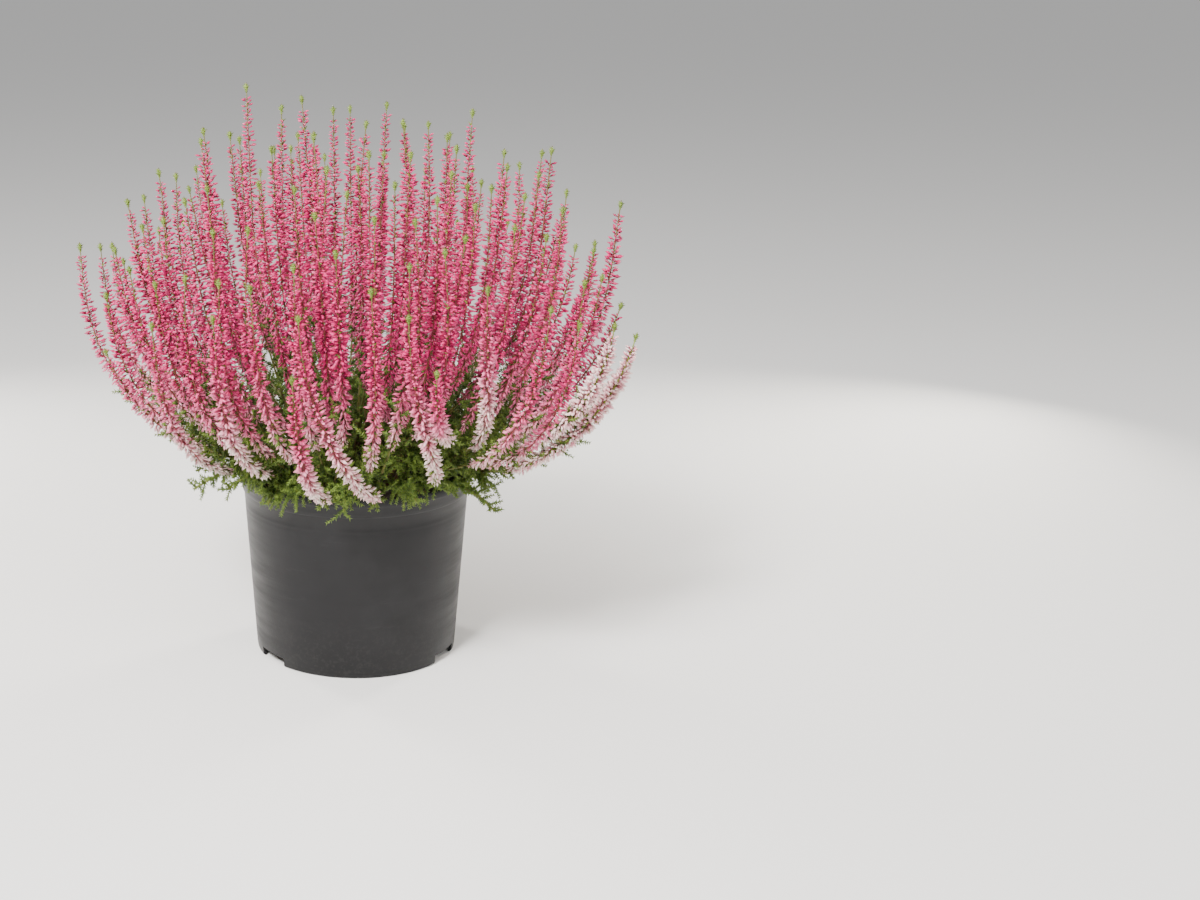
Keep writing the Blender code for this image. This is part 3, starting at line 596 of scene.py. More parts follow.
class Course:
    """Points on a stem at known distances, with tangents and side directions."""

    def __init__(self, points, distances):
        self.distances = distances
        self.rows = (points, *frames_along(points))

    def at(self, where):
        """Points, tangents and both side directions at other distances."""
        return [rows_at(where, self.distances, rows) for rows in self.rows]


def add_tube(body, points, radii, colours, sides):
    """A tube along a course, with a radius and a colour at each of its points."""
    _, across, other = frames_along(points)
    turns = np.arange(sides) * 2.0 * math.pi / sides
    vertices = points[:, None] + around(turns, across[:, None], other[:, None]) * radii[:, None, None]
    low = np.arange(len(points) - 1)[:, None] * sides
    a = low + np.arange(sides)
    b = low + (np.arange(sides) + 1) % sides
    first = np.stack((a, b, b + sides), axis=-1).reshape(-1, 3)
    second = np.stack((a, b + sides, a + sides), axis=-1).reshape(-1, 3)
    body.add(vertices, np.concatenate((first, second)), np.repeat(colours[:, None], sides, axis=1))


def spindle(heights, radii, sides):
    """A template form along +Z. A station of radius 0 is a point."""
    vertices = []
    rings = []
    for height, radius in zip(heights, radii):
        corners = sides if radius > 0.0 else 1
        rings.append([len(vertices) + k % corners for k in range(sides)])
        for k in range(corners):
            turn = 2.0 * math.pi * k / sides
            vertices.append((radius * math.cos(turn), radius * math.sin(turn), height))
    faces = []
    for low, high in zip(rings, rings[1:]):
        for k in range(sides):
            following = (k + 1) % sides
            for face in ((low[k], low[following], high[following]), (low[k], high[following], high[k])):
                if len(set(face)) == 3:
                    faces.append(face)
    return np.array(vertices), np.array(faces)


# A floret is a bud of folded sepals that ends in a point, on a thin stalk or without one
STALKED_FLORET = spindle((0.0, 0.38, 0.70, 1.0), (0.0, 0.055, 0.155, 0.0), 3)
FLORET = spindle((0.0, 0.64, 1.0), (0.0, 0.16, 0.0), 4)
# A scale leaf is a slim point
LEAF = spindle((0.0, 1.0), (0.19, 0.0), 3)


def place(body, template, origins, directions, sizes, widths, low_colours, high_colours, rng, power=1.0):
    """Copies of a template at the origins, pointing along the directions, coloured root to tip."""
    vertices, faces = template
    z = unit_rows(directions)
    x = unit_rows(np.cross(z, unit_rows(rng.normal(size=(len(origins), 3)))))
    y = np.cross(z, x)
    local = vertices[None] * sizes[:, None, None]
    wide = local[:, :, :2] * widths[:, None, None]
    world = origins[:, None] + wide[:, :, :1] * x[:, None] + wide[:, :, 1:] * y[:, None]
    world = world + local[:, :, 2:] * z[:, None]
    blend = vertices[None, :, 2:] ** power
    colours = low_colours[:, None] * (1.0 - blend) + high_colours[:, None] * blend
    shift = (np.arange(len(origins)) * len(vertices))[:, None, None]
    body.add(world, faces[None] + shift, colours)


def colour(red, green, blue):
    """Scene-linear colour from display values from 0 to 255, by the sRGB curve."""
    value = np.array((red, green, blue)) / 255.0
    return np.where(value <= 0.04045, value / 12.92, ((value + 0.055) / 1.055) ** 2.4)


DEEP_PINK = colour(88, 2, 38)
MID_PINK = colour(194, 3, 88)
LIGHT_PINK = colour(246, 44, 140)
PALE = colour(255, 250, 234)
PALE_PINK = colour(255, 158, 190)
# Deep rose for the roots of florets: partly their own colour, partly painted shade between florets
ROSE = colour(140, 22, 50)
LIME = colour(120, 142, 50)
GREEN = colour(76, 104, 28)
DARK_GREEN = colour(42, 60, 18)
YELLOW_GREEN = colour(120, 140, 50)
WOOD = colour(84, 62, 40)
STEM_GREEN = colour(104, 104, 50)
STEM_PINK = colour(132, 60, 58)


# Spikes of florets

# A pair of values holds at the foot and at the top of a spike, or is the range of a random draw
PAIR_STEPS = (0.56 * MM, 1.15 * MM)
STEP_RANGE = (0.75, 1.25)
SPIKE_STATIONS = 40
PAIR_TURN = math.pi / 2.0 + 0.12
TURN_SPREAD = 0.30
TILTS = (math.radians(-40.0), math.radians(22.0))
TILT_SPREADS = (0.30, 0.16)
HANG = 0.10
HANG_WHEN_LEVEL = 0.45
FLORET_SIZES = (5.3 * MM, 5.6 * MM)
FLORET_RANGE = (0.72, 1.12)
SPIKE_RANGE = (0.90, 1.10)
WIDTH_RANGE = (0.80, 1.12)
SMALLEST_AT_FOOT = 0.62
SMALLEST_AT_TOP = 0.68
TAPER_FROM = 0.70
SLIMMEST = 0.82
STALKED_SHARE = 0.42
SPIKE_LEAVES = 64
SPIKE_LEAF_SIZES = (1.8, 3.2)
SPIKE_TONES = (0.36, 0.60)
TONE_SPREAD = 0.30
LIGHT_TIPPED = 0.30
LIGHT_TIP_RANGE = (0.1, 0.4)
PALE_FADE = 0.50
PALE_RANGE = (0.6, 1.4)
PALE_FOOT_RANGE = (0.3, 1.0)
WHITE_SHARE = 0.82
WHITE_FADE = 0.40
WHITE_RANGE = (0.6, 1.5)


def pair_places(shoot, rng, density):
    """Distances of the pairs of florets along a shoot, closer together low down."""
    end = shoot.length - TIP_LENGTH
    span = end - shoot.flowers_from
    place_at = shoot.flowers_from
    places = []
    while place_at < end:
        places.append(place_at)
        height = (place_at - shoot.flowers_from) / span
        place_at += mix(*PAIR_STEPS, smooth(height)) * rng.uniform(*STEP_RANGE) / density
    return np.array(places)


def floret_colours(height, strength, top, rng):
    """Root and tip colours of florets at these heights: pink, and paler below the top of the
    spike's pale part. The roots are darker, partly for the bud's own deeper-pink base and partly
    as painted shade in the gaps between florets."""
    count = len(height)
    column = (count, 1)
    tone = np.clip(rng.normal(rng.uniform(*SPIKE_TONES), TONE_SPREAD, count), 0.0, 1.0)[:, None]
    pink = np.where(tone < 0.5, mix(DEEP_PINK, MID_PINK, tone * 2.0),
                    mix(MID_PINK, LIGHT_PINK, (tone - 0.5) * 1.6))
    pale = smooth((top - height) / PALE_FADE)[:, None] * strength
    pale = np.clip(pale * rng.uniform(*PALE_RANGE, column), 0.0, 1.0)
    light_tip = (rng.uniform(0.0, 1.0, column) < LIGHT_TIPPED) * rng.uniform(*LIGHT_TIP_RANGE, column)
    high = mix(mix(pink, LIGHT_PINK, 0.45), PALE_PINK, light_tip)
    white = smooth((WHITE_SHARE * top ** 2 - height) / WHITE_FADE)[:, None]
    white = np.clip(white * rng.uniform(*WHITE_RANGE, column), 0.0, 1.0)
    high = mix(high, mix(PALE_PINK, PALE, white), pale)
    # Darker roots, and a darker foot on pale florets: partly the bud's own base colour, partly painted shade
    # between florets
    pale_foot = mix(STEM_PINK, PALE_PINK, rng.uniform(*PALE_FOOT_RANGE, column))
    low = mix(mix(pink, ROSE, 0.65), pale_foot, pale * (0.85 if top > 1.0 else 0.45))
    return low, high


def add_spike(body, shoot, rng, paleness, spread_out, density):
    """Crossed pairs of florets up a shoot, with small leaves between them."""
    places = np.repeat(pair_places(shoot, rng, density), 2)
    total = len(places)
    end = shoot.length - TIP_LENGTH
    height = (places - shoot.flowers_from) / (end - shoot.flowers_from)
    stations = np.linspace(shoot.flowers_from, end, SPIKE_STATIONS)
    course = Course(shoot.points(stations), stations)
    where = places + rng.uniform(-0.5, 0.5, total) * MM
    order = np.arange(total)
    turns = (order // 2) * PAIR_TURN + (order % 2) * math.pi + rng.normal(0.0, TURN_SPREAD, total)
    origins, along, across, other = course.at(where)
    out = around(turns, across, other)
    tilt = mix(*TILTS, smooth(height * 1.1)) + rng.normal(0.0, 1.0, total) * mix(*TILT_SPREADS, height)
    direction = out * np.cos(tilt)[:, None] + along * np.sin(tilt)[:, None]
    direction[:, 2] -= (1.0 - height) * (HANG + HANG_WHEN_LEVEL * (1.0 - np.abs(along[:, 2])))
    sizes = mix(*FLORET_SIZES, smooth((height - 0.12) / 0.88)) * rng.uniform(*FLORET_RANGE, total)
    sizes = sizes * mix(SMALLEST_AT_FOOT, 1.0, smooth(height / 0.10)) * rng.uniform(*SPIKE_RANGE) * spread_out
    sizes = sizes * mix(1.0, SMALLEST_AT_TOP, smooth((height - TAPER_FROM) / (1.0 - TAPER_FROM)))
    low, high = floret_colours(height, *paleness, rng)
    widths = rng.uniform(*WIDTH_RANGE, total) * mix(SLIMMEST, 1.0, smooth(height * 2.0))
    stalked = height < STALKED_SHARE
    for template, chosen, power in ((STALKED_FLORET, stalked, 1.2), (FLORET, ~stalked, 1.9)):
        place(body, template, origins[chosen], direction[chosen], sizes[chosen], widths[chosen],
              low[chosen], high[chosen], rng, power)
    where = mix(stations[0], stations[-1], rng.uniform(0.0, 1.0, SPIKE_LEAVES) ** 1.4)
    turns = rng.uniform(0.0, 2.0 * math.pi, SPIKE_LEAVES)
    origins, along, across, other = course.at(where)
    direction = around(turns, across, other) * 0.8 + along * 0.6
    green = mix(mix(WOOD, GREEN, 0.5), LIME, rng.uniform(0.0, 0.8, (SPIKE_LEAVES, 1)))
    sizes = rng.uniform(*SPIKE_LEAF_SIZES, SPIKE_LEAVES) * MM
    # Painted shade: each small leaf is darkened at its root, where it meets the stem
    place(body, LEAF, origins, direction, sizes, np.full(SPIKE_LEAVES, 1.2), green * 0.8, green, rng)


# Growing tips

BARE_TIP = 3.6 * MM
LAST_RING = 1.8 * MM
# One value for each ring of the rosette
TIP_SIZES = np.array((1.3, 1.6, 2.2, 2.5, 1.9)) * MM
TIP_LEANS = np.array((1.1, 1.2, 1.3, 1.2, 0.7))
TIP_RISE = 0.62
TIP_TURN = 0.8
TIP_WIDTH = 1.7
# Painted shade and light: each rosette leaf is darkened at its root and lightened at its tip
TIP_PAINTED_SHADE_AND_LIGHT = (0.7, 1.05)
TIP_TURN_SPREAD = 0.2
TIP_RANGE = (0.85, 1.15)
LEAVES_IN_RING = 5


def add_tip(body, shoot, rng):
    """The growing tip: a small rosette of lime leaves at the end of a short bare stem."""
    rings = len(TIP_SIZES)
    total = rings * LEAVES_IN_RING
    first = shoot.length - TIP_LENGTH + BARE_TIP
    centres = shoot.points(np.linspace(first, shoot.length - LAST_RING, rings))
    tangents, across, other = frames_along(centres)
    turns = np.arange(rings)[:, None] * TIP_TURN
    turns = turns + np.arange(LEAVES_IN_RING)[None, :] * 2.0 * math.pi / LEAVES_IN_RING
    turns = turns + rng.normal(0.0, TIP_TURN_SPREAD, turns.shape)
    out = around(turns, across[:, None], other[:, None])
    direction = (out * TIP_LEANS[:, None, None] + tangents[:, None] * TIP_RISE).reshape(-1, 3)
    sizes = np.repeat(TIP_SIZES, LEAVES_IN_RING) * rng.uniform(*TIP_RANGE, total)
    origins = np.repeat(centres, LEAVES_IN_RING, axis=0)
    lime = mix(mix(GREEN, LIME, 0.6), mix(LIME, YELLOW_GREEN, 0.4), rng.uniform(0.0, 1.0, (total, 1)))
    # Each rosette leaf runs from painted shade at its root to painted light at its tip
    place(body, LEAF, origins, direction, sizes, np.full(total, TIP_WIDTH),
          lime * TIP_PAINTED_SHADE_AND_LIGHT[0], lime * TIP_PAINTED_SHADE_AND_LIGHT[1], rng)


# Leafy twigs

TWIG_CORE_RADIUS = 0.45 * MM
THIN_CORE_RADIUS = 0.35 * MM
CORE_ENDS_AT = 0.94
CORE_TAPER = 0.8
LEAF_WIDTH = 1.25
LEAF_LEANS = (0.7, 1.25)
LEAF_RISE = 1.15
LEAF_SHRINK = 0.35
LEAF_SIZES = (0.8, 1.2)
# Painted shade and light: each scale leaf is darkened at its root, where it meets the twig, and lightened at
# its tip
LEAF_PAINTED_SHADE_AND_LIGHT = (0.8, 1.15)
LEAF_TURN_SPREAD = 0.25
LEAF_TONE_SPREAD = 0.3
WALL_MARGIN = 5.0 * MM
RIM_MARGIN = 1.5 * MM
SOIL_MARGIN = 3.0 * MM
SIDE_TWIG_TURN = 2.4
SIDE_TWIG_SPREAD = 0.4
SIDE_TWIG_SHRINK = 0.25
SIDE_TWIG_STRAY = 0.22
SIDE_TWIG_LIFT = np.array((0.0, 0.0, 0.2))
SPACING_RANGE = (0.7, 1.3)
CROSSING_STATIONS = 60
RIM_SPRIGS = 30
SPRIG_ZONE = 11.0 * MM
SPRIG_REACH = (4.0 * MM, 15.0 * MM)
SPRIG_DROP = (-5.0 * MM, 11.0 * MM)
SPRIG_ARCH = 2.5 * MM
SPRIG_FAN = 1.1


def add_leafy(body, points, rng, leaf_step, leaf_size, tones, core, per_ring):
    """A twig along a course, clothed in scale leaves, lighter towards its tip."""
    run = run_along(points)
    total = run[-1]
    rings = max(3, int(total / leaf_step))
    where = (np.arange(rings) + 0.6) / rings * total
    centres = rows_at(where, run, points)
    tangents, across, other = frames_along(centres)
    turns = (np.arange(per_ring)[None, :] + 0.5 * (np.arange(rings) % 2)[:, None]) * 2.0 * math.pi / per_ring
    turns = turns + rng.normal(0.0, LEAF_TURN_SPREAD, turns.shape)
    lean = rng.uniform(*LEAF_LEANS, turns.shape)[..., None]
    out = around(turns, across[:, None], other[:, None])
    direction = (out * lean + tangents[:, None] * (LEAF_RISE - lean * 0.5)).reshape(-1, 3)
    share = np.repeat(where / total, per_ring)
    size = leaf_size * (1.0 - LEAF_SHRINK * share ** 3) * rng.uniform(*LEAF_SIZES, len(share))
    tone = np.clip(share + rng.normal(0.0, LEAF_TONE_SPREAD, len(share)), 0.0, 1.0)[:, None]
    base = mix(*tones, tone)
    # Each leaf runs from painted shade at its root to painted light at its tip
    place(body, LEAF, np.repeat(centres, per_ring, axis=0), direction, size,
          np.full(len(share), LEAF_WIDTH), base * LEAF_PAINTED_SHADE_AND_LIGHT[0], base * LEAF_PAINTED_SHADE_AND_LIGHT[1], rng)
    steps = np.linspace(0.0, CORE_ENDS_AT, 3)
    bark = np.repeat(mix(tones[0], STEM_GREEN, 0.4)[None], 3, axis=0)
    add_tube(body, rows_at(steps * total, run, points), core * (1.0 - CORE_TAPER * steps), bark, sides=3)


def keeps_off_pot(points):
    """False where a course runs through the wall of the pot or the soil."""
    across = np.hypot(points[:, 0], points[:, 1])
    inside = across <= BODY_TOP_RADIUS - WALL_MARGIN
    in_wall = ~inside & (across < RIM_RADIUS + RIM_MARGIN) & (points[:, 2] < POT_HEIGHT + RIM_MARGIN)
    in_soil = inside & (points[:, 2] < SOIL_EDGE_HEIGHT + SOIL_MARGIN)
    return not np.any(in_wall | in_soil)


def add_side_twigs(body, points, rng, spacing, lengths, tones, from_share=0.0):
    """Short leafy twigs off all sides of a stem, curving up."""
    course = Course(points, run_along(points))
    total = course.distances[-1]
    where = from_share * total
    turn = rng.uniform(0.0, 2.0 * math.pi)
    while where < total:
        centre, tangent, across, other = course.at(where)
        out = math.cos(turn) * across + math.sin(turn) * other
        length = rng.uniform(*lengths) * (1.0 - SIDE_TWIG_SHRINK * (where / total))
        stray = rng.normal(0.0, SIDE_TWIG_STRAY, 3)
        middle = centre + (out * 0.6 + tangent * 0.45 + stray) * length * 0.5
        end = centre + (out * 0.75 + tangent * 0.5 + stray + SIDE_TWIG_LIFT) * length
        leafy = arch(centre, middle, end, np.linspace(0.0, 1.0, 6))
        if keeps_off_pot(leafy):
            add_leafy(body, leafy, rng, 1.25 * MM, 2.5 * MM, tones, THIN_CORE_RADIUS, 3)
        turn += SIDE_TWIG_TURN + rng.uniform(-SIDE_TWIG_SPREAD, SIDE_TWIG_SPREAD)
        where += spacing * rng.uniform(*SPACING_RANGE)


def add_rim_sprigs(body, twig, rng, tones):
    """Short sprigs that hang over the rim from a twig that crosses it."""
    course = twig.points(np.linspace(0.0, 1.0, CROSSING_STATIONS))
    across = np.hypot(course[:, 0], course[:, 1])
    crossing = course[(across > RIM_RADIUS - SPRIG_ZONE) & (across < RIM_RADIUS + SPRIG_ZONE)]
    for _ in range(RIM_SPRIGS if len(crossing) > 1 else 0):
        start = crossing[rng.integers(len(crossing))]
        turn = math.atan2(start[1], start[0]) + rng.uniform(-SPRIG_FAN, SPRIG_FAN)
        outward = level_direction(turn)
        reach = rng.uniform(*SPRIG_REACH)
        end = start + outward * reach
        end[2] -= rng.uniform(*SPRIG_DROP)
        middle = start + outward * reach * 0.6
        middle[2] += SPRIG_ARCH
        leafy = arch(start, middle, end, np.linspace(0.0, 1.0, 7))
        if keeps_off_pot(leafy):
            add_leafy(body, leafy, rng, 1.1 * MM, 2.3 * MM, tones, THIN_CORE_RADIUS, 4)


# Sprays and tufts

RIGHT_LEAN = 0.85
SHORT_SHOOT = 160.0 * MM
BRANCH_TAPER = 60.0 * MM
BRANCH_RADII = (1.1 * MM, 0.6 * MM, 0.3 * MM)
TRUNK_RADII = (TRUNK_RADIUS, 0.9 * MM, 0.3 * MM)
SHOOT_STATIONS = 20
# Outwards the florets stand denser, are larger and stay pale farther up their spike
OUTER_FROM = 0.6
OUTER_WIDTH = 0.4
DENSITY = 1.02
DENSER_OUTSIDE = 0.14
DENSER_IF_LOW = 0.20
LARGER_OUTSIDE = 0.06
PALE_STRENGTH = 0.66
PALE_TOP = 0.30
HIGHER_OUTSIDE = 0.46
LOW_PALENESS = (1.0, 0.92)
ALL_PALE = (1.0, 1.3)
ALL_PALE_DENSITY = 2.5
ALL_PALE_SIZE = 1.30
TWIGGY_FROM = 6.0 * MM
TWIG_SPACINGS = (4.4, 2.0)
TWIGS_START = (0.3, 0.05)
TWIGGY_PAST = (22.0, 34.0)
TWIGGY_PAST_IF_PALE = 60.0
SHOOT_TWIGS = (7.0 * MM, 15.0 * MM)
TUFT_TWIGS = (6.0 * MM, 14.0 * MM)
TWIG_STATIONS = 14
SPRAY_SEED = 100
TUFT_SEED = 300


def foot_in_hole(base):
    """The point under a base where a stem stands on the floor of its hole."""
    foot = base.copy()
    foot[2] = soil_height(base[0], base[1]) - HOLE_DEPTH + GAP
    return foot


def leader_foot(leader):
    base = leader.points(np.array([0.0]))[0]
    base[2] = STEM_TOP_IN_HOLE
    return foot_in_hole(base), base


def add_shoot(body, shoot, leader, rng):
    """One shoot: its stem, its spike, its growing tip and the leafy twigs low on it. The short
    and low shoots on the right are pale up to their tips, and their florets stand denser."""
    size = np.linalg.norm(shoot.lean)
    outer = smooth((size - OUTER_FROM) / OUTER_WIDTH)
    distances = np.linspace(shoot.fork, shoot.length, SHOOT_STATIONS)
    points = shoot.points(distances)
    radii = np.interp(distances, (shoot.fork, shoot.fork + BRANCH_TAPER, shoot.length), BRANCH_RADII)
    if shoot is leader:
        foot, base = leader_foot(leader)
        points = np.concatenate(([foot, base], points[1:]))
        distances = np.concatenate(([-HOLE_DEPTH, 0.0], distances[1:]))
        radii = np.interp(distances, (0.0, TRUNK_TAPER, shoot.length), TRUNK_RADII)
    share = (distances - shoot.flowers_from) / (shoot.length - shoot.flowers_from)
    wood = mix(WOOD, STEM_GREEN, smooth(distances / shoot.flowers_from)[:, None])
    if shoot.lean[0] > RIGHT_LEAN and (shoot.sweeps or shoot.length < SHORT_SHOOT):
        young = LIME
        paleness = ALL_PALE
        density = ALL_PALE_DENSITY
        spread_out = ALL_PALE_SIZE
        twiggy_past = TWIGGY_PAST_IF_PALE
    else:
        young = mix(STEM_PINK, STEM_GREEN, smooth((share - 0.7) / 0.3)[:, None])
        paleness = LOW_PALENESS if shoot.sweeps else (PALE_STRENGTH, PALE_TOP + HIGHER_OUTSIDE * outer)
        density = DENSITY + DENSER_OUTSIDE * outer + (DENSER_IF_LOW if shoot.sweeps else 0.0)
        spread_out = 1.0 + LARGER_OUTSIDE * outer
        twiggy_past = mix(*TWIGGY_PAST, outer)
    add_tube(body, points, radii, mix(wood, young, smooth(share * 3.0)[:, None]), sides=4)
    add_spike(body, shoot, rng, paleness, spread_out, density)
    add_tip(body, shoot, rng)
    twiggy_to = shoot.flowers_from + twiggy_past * MM
    twiggy = shoot.points(np.linspace(max(shoot.fork, TWIGGY_FROM), twiggy_to, TWIG_STATIONS))
    fresh = mix(GREEN, YELLOW_GREEN, 0.2 + 0.5 * smooth((size - 0.5) / 0.6))
    add_side_twigs(body, twiggy, rng, mix(*TWIG_SPACINGS, outer) * MM, SHOOT_TWIGS,
                   (mix(DARK_GREEN, GREEN, 0.4), fresh), mix(*TWIGS_START, outer))


def build_sprays(sprays, material):
    for number, shoots in enumerate(sprays):
        rng = np.random.default_rng(SPRAY_SEED + number)
        body = Body()
        for shoot in shoots:
            add_shoot(body, shoot, shoots[0], rng)
        thing = body.make("spray_%02d_bloom" % (number + 1), material)
        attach(thing, "root")
        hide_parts("spray_%02d" % (number + 1))


def build_tufts(tufts, material):
    tones = (mix(DARK_GREEN, GREEN, 0.6), mix(GREEN, YELLOW_GREEN, 0.65))
    for number, twigs in enumerate(tufts):
        rng = np.random.default_rng(TUFT_SEED + number)
        body = Body()
        for twig in twigs:
            course = twig.points(np.linspace(0.0, 1.0, TWIG_STATIONS))
            if twig is twigs[0]:
                course = np.concatenate(([foot_in_hole(twig.start)], course))
            radii = np.linspace(1.3 * MM, 0.5 * MM, len(course))
            stem = mix(WOOD, STEM_GREEN, np.linspace(0.0, 1.0, len(course))[:, None])
            add_tube(body, course, radii, stem, sides=5)
            leafy = twig.points(np.linspace(0.2, 1.0, TWIG_STATIONS))
            add_leafy(body, leafy, rng, 1.0 * MM, 2.8 * MM, tones, TWIG_CORE_RADIUS, 4)
            add_side_twigs(body, leafy, rng, 1.6 * MM, TUFT_TWIGS, tones)
            add_rim_sprigs(body, twig, rng, tones)
        thing = body.make("leafy_tuft_%02d_leaves" % (number + 1), material)
        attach(thing, "root")
        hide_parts("leafy_tuft_%02d" % (number + 1))


# Pot and soil

POT_SEGMENTS = 144
WALL_HEIGHTS = np.linspace(FOOT_EDGE + 8.0 * MM, 88.0 * MM, 8)
# Heights and depths of the moulded grooves in millimetres
GROOVES = ((89.2, 0.0), (90.1, 0.10), (91.0, 0.0), (92.2, 0.0), (93.2, 0.20), (94.2, 0.0))
BAND_FLARE = 0.5 * MM
BAND_CURVE = 2.2 * MM
LIP_DENT = 0.12 * MM
LIP_CORNER = 0.14 * MM
NOTCH_STEPS = 10
CUTTER_OVERLAP = 2.0 * MM
SHARP_EDGE = math.radians(32.0)
SOIL_RINGS = 46
SOIL_SEGMENTS = 120
CRUMBS = 260
CRUMB_SPREAD = np.array((66.0, 66.0, 1.0)) * MM
CRUMB_RADIUS = 3.2 * MM
CRUMB_RELIEF = 1400.0
CRUMB_SEED = 7
SOIL_EDGE_RADIUS = 62.0 * MM
SOIL_EDGE_WIDTH = 4.0 * MM


def turned_mesh(name, profile, segments):
    """A surface turned about the axis. The profile starts and ends on the axis, and each of its
    heights is one value or one for each segment."""
    turns = 2.0 * math.pi * np.arange(segments) / segments
    vertices = [(0.0, 0.0, profile[0][1])]
    for radius, height in profile[1:-1]:
        level = height + np.zeros(segments)
        vertices += np.stack((radius * np.sin(turns), -radius * np.cos(turns), level), axis=1).tolist()
    vertices.append((0.0, 0.0, profile[-1][1]))
    top = len(vertices) - 1
    faces = []
    for k in range(segments):
        following = (k + 1) % segments
        faces.append((0, 1 + following, 1 + k))
        for low in range(1, top - segments, segments):
            high = low + segments
            faces.append((low + k, low + following, high + following, high + k))
        faces.append((top - segments + k, top - segments + following, top))
    return put_mesh(name, vertices, faces)


def notch_cutter(angle):
    """A curved block through the foot ring and the edge of the base plate."""
    inside = BODY_FOOT_RADIUS - NOTCH_DEPTH
    outside = BODY_FOOT_RADIUS + CUTTER_OVERLAP
    bottom = -CUTTER_OVERLAP
    corners = ((inside, bottom), (outside, bottom), (outside, NOTCH_HEIGHT), (inside, NOTCH_HEIGHT))
    vertices = []
    for k in range(NOTCH_STEPS + 1):
        turn = math.radians(angle + NOTCH_WIDTH * (k / NOTCH_STEPS - 0.5))
        for radius, height in corners:
            vertices.append((radius * math.sin(turn), -radius * math.cos(turn), height))
    end = 4 * NOTCH_STEPS
    faces = [(0, 1, 2, 3), (end + 3, end + 2, end + 1, end)]
    for low in range(0, end, 4):
        for here, there in ((0, 1), (1, 2), (2, 3), (3, 0)):
            faces.append((low + here, low + 4 + here, low + 4 + there, low + there))
    return put_mesh("notch_cutter", vertices, faces)


def outer_radius(height):
    shoulder = POT_HEIGHT - BAND_HEIGHT - SHOULDER_ROUND
    return np.interp(height, (FOOT_EDGE, shoulder), (BODY_FOOT_RADIUS, BODY_TOP_RADIUS))


def build_pot(material):
    shoulder = POT_HEIGHT - BAND_HEIGHT
    lip = POT_HEIGHT - LIP_HEIGHT
    foot_outside = BODY_FOOT_RADIUS - FOOT_SLOPE
    band_radius = BODY_TOP_RADIUS + SHOULDER_STEP
    profile = [
        (0.0, PLATE_BOTTOM),
        (inner_radius(PLATE_TOP), PLATE_BOTTOM),
        (foot_outside - FOOT_FLAT, 0.0),
        (foot_outside, 0.0),
        (BODY_FOOT_RADIUS - FOOT_ROUND, FOOT_EDGE / 3.0),
        (BODY_FOOT_RADIUS, FOOT_EDGE),
    ]
    for height in WALL_HEIGHTS:
        profile.append((outer_radius(height), height))
    for height, depth in GROOVES:
        profile.append((outer_radius(height * MM) - depth * MM, height * MM))
    profile += [
        (BODY_TOP_RADIUS, shoulder - SHOULDER_ROUND),
        (BODY_TOP_RADIUS + SHOULDER_STEP * 0.7, shoulder - SHOULDER_ROUND * 0.25),
        (band_radius, shoulder),
        (band_radius + BAND_FLARE, shoulder + BAND_CURVE),
        (RIM_RADIUS - LIP_ROUND, lip - LIP_ROUND),
        (RIM_RADIUS - LIP_DENT, lip),
        (RIM_RADIUS, lip + LIP_ROUND),
        (RIM_RADIUS, POT_HEIGHT - LIP_ROUND),
        (RIM_RADIUS - LIP_CORNER, POT_HEIGHT - LIP_CORNER),
        (RIM_RADIUS - LIP_ROUND, POT_HEIGHT),
        (RIM_RADIUS - LIP_WIDTH, POT_HEIGHT),
        (RIM_RADIUS - LIP_WIDTH - LIP_ROUND, lip),
        (band_radius - WALL, shoulder + LIP_ROUND),
        (inner_radius(shoulder - SHOULDER_ROUND), shoulder - SHOULDER_ROUND),
        (inner_radius(PLATE_TOP), PLATE_TOP),
        (0.0, PLATE_TOP),
    ]
    pot = turned_mesh("pot_shell", profile, POT_SEGMENTS)
    cutters = [notch_cutter(angle) for angle in NOTCH_ANGLES]
    for cutter in cutters:
        modifier = pot.modifiers.new("notch", "BOOLEAN")
        modifier.object = cutter
        modifier.operation = "DIFFERENCE"
        modifier.solver = "EXACT"
    bpy.context.view_layer.update()
    result = bpy.data.meshes.new_from_object(pot.evaluated_get(bpy.context.evaluated_depsgraph_get()))
    pot.modifiers.clear()
    pot.data = result
    for cutter in cutters:
        bpy.data.objects.remove(cutter)
    pot.data.materials.clear()
    pot.data.materials.append(material)
    pot.data.shade_smooth()
    pot.data.set_sharp_from_angle(angle=SHARP_EDGE)
    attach(pot, "root")
    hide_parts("pot")


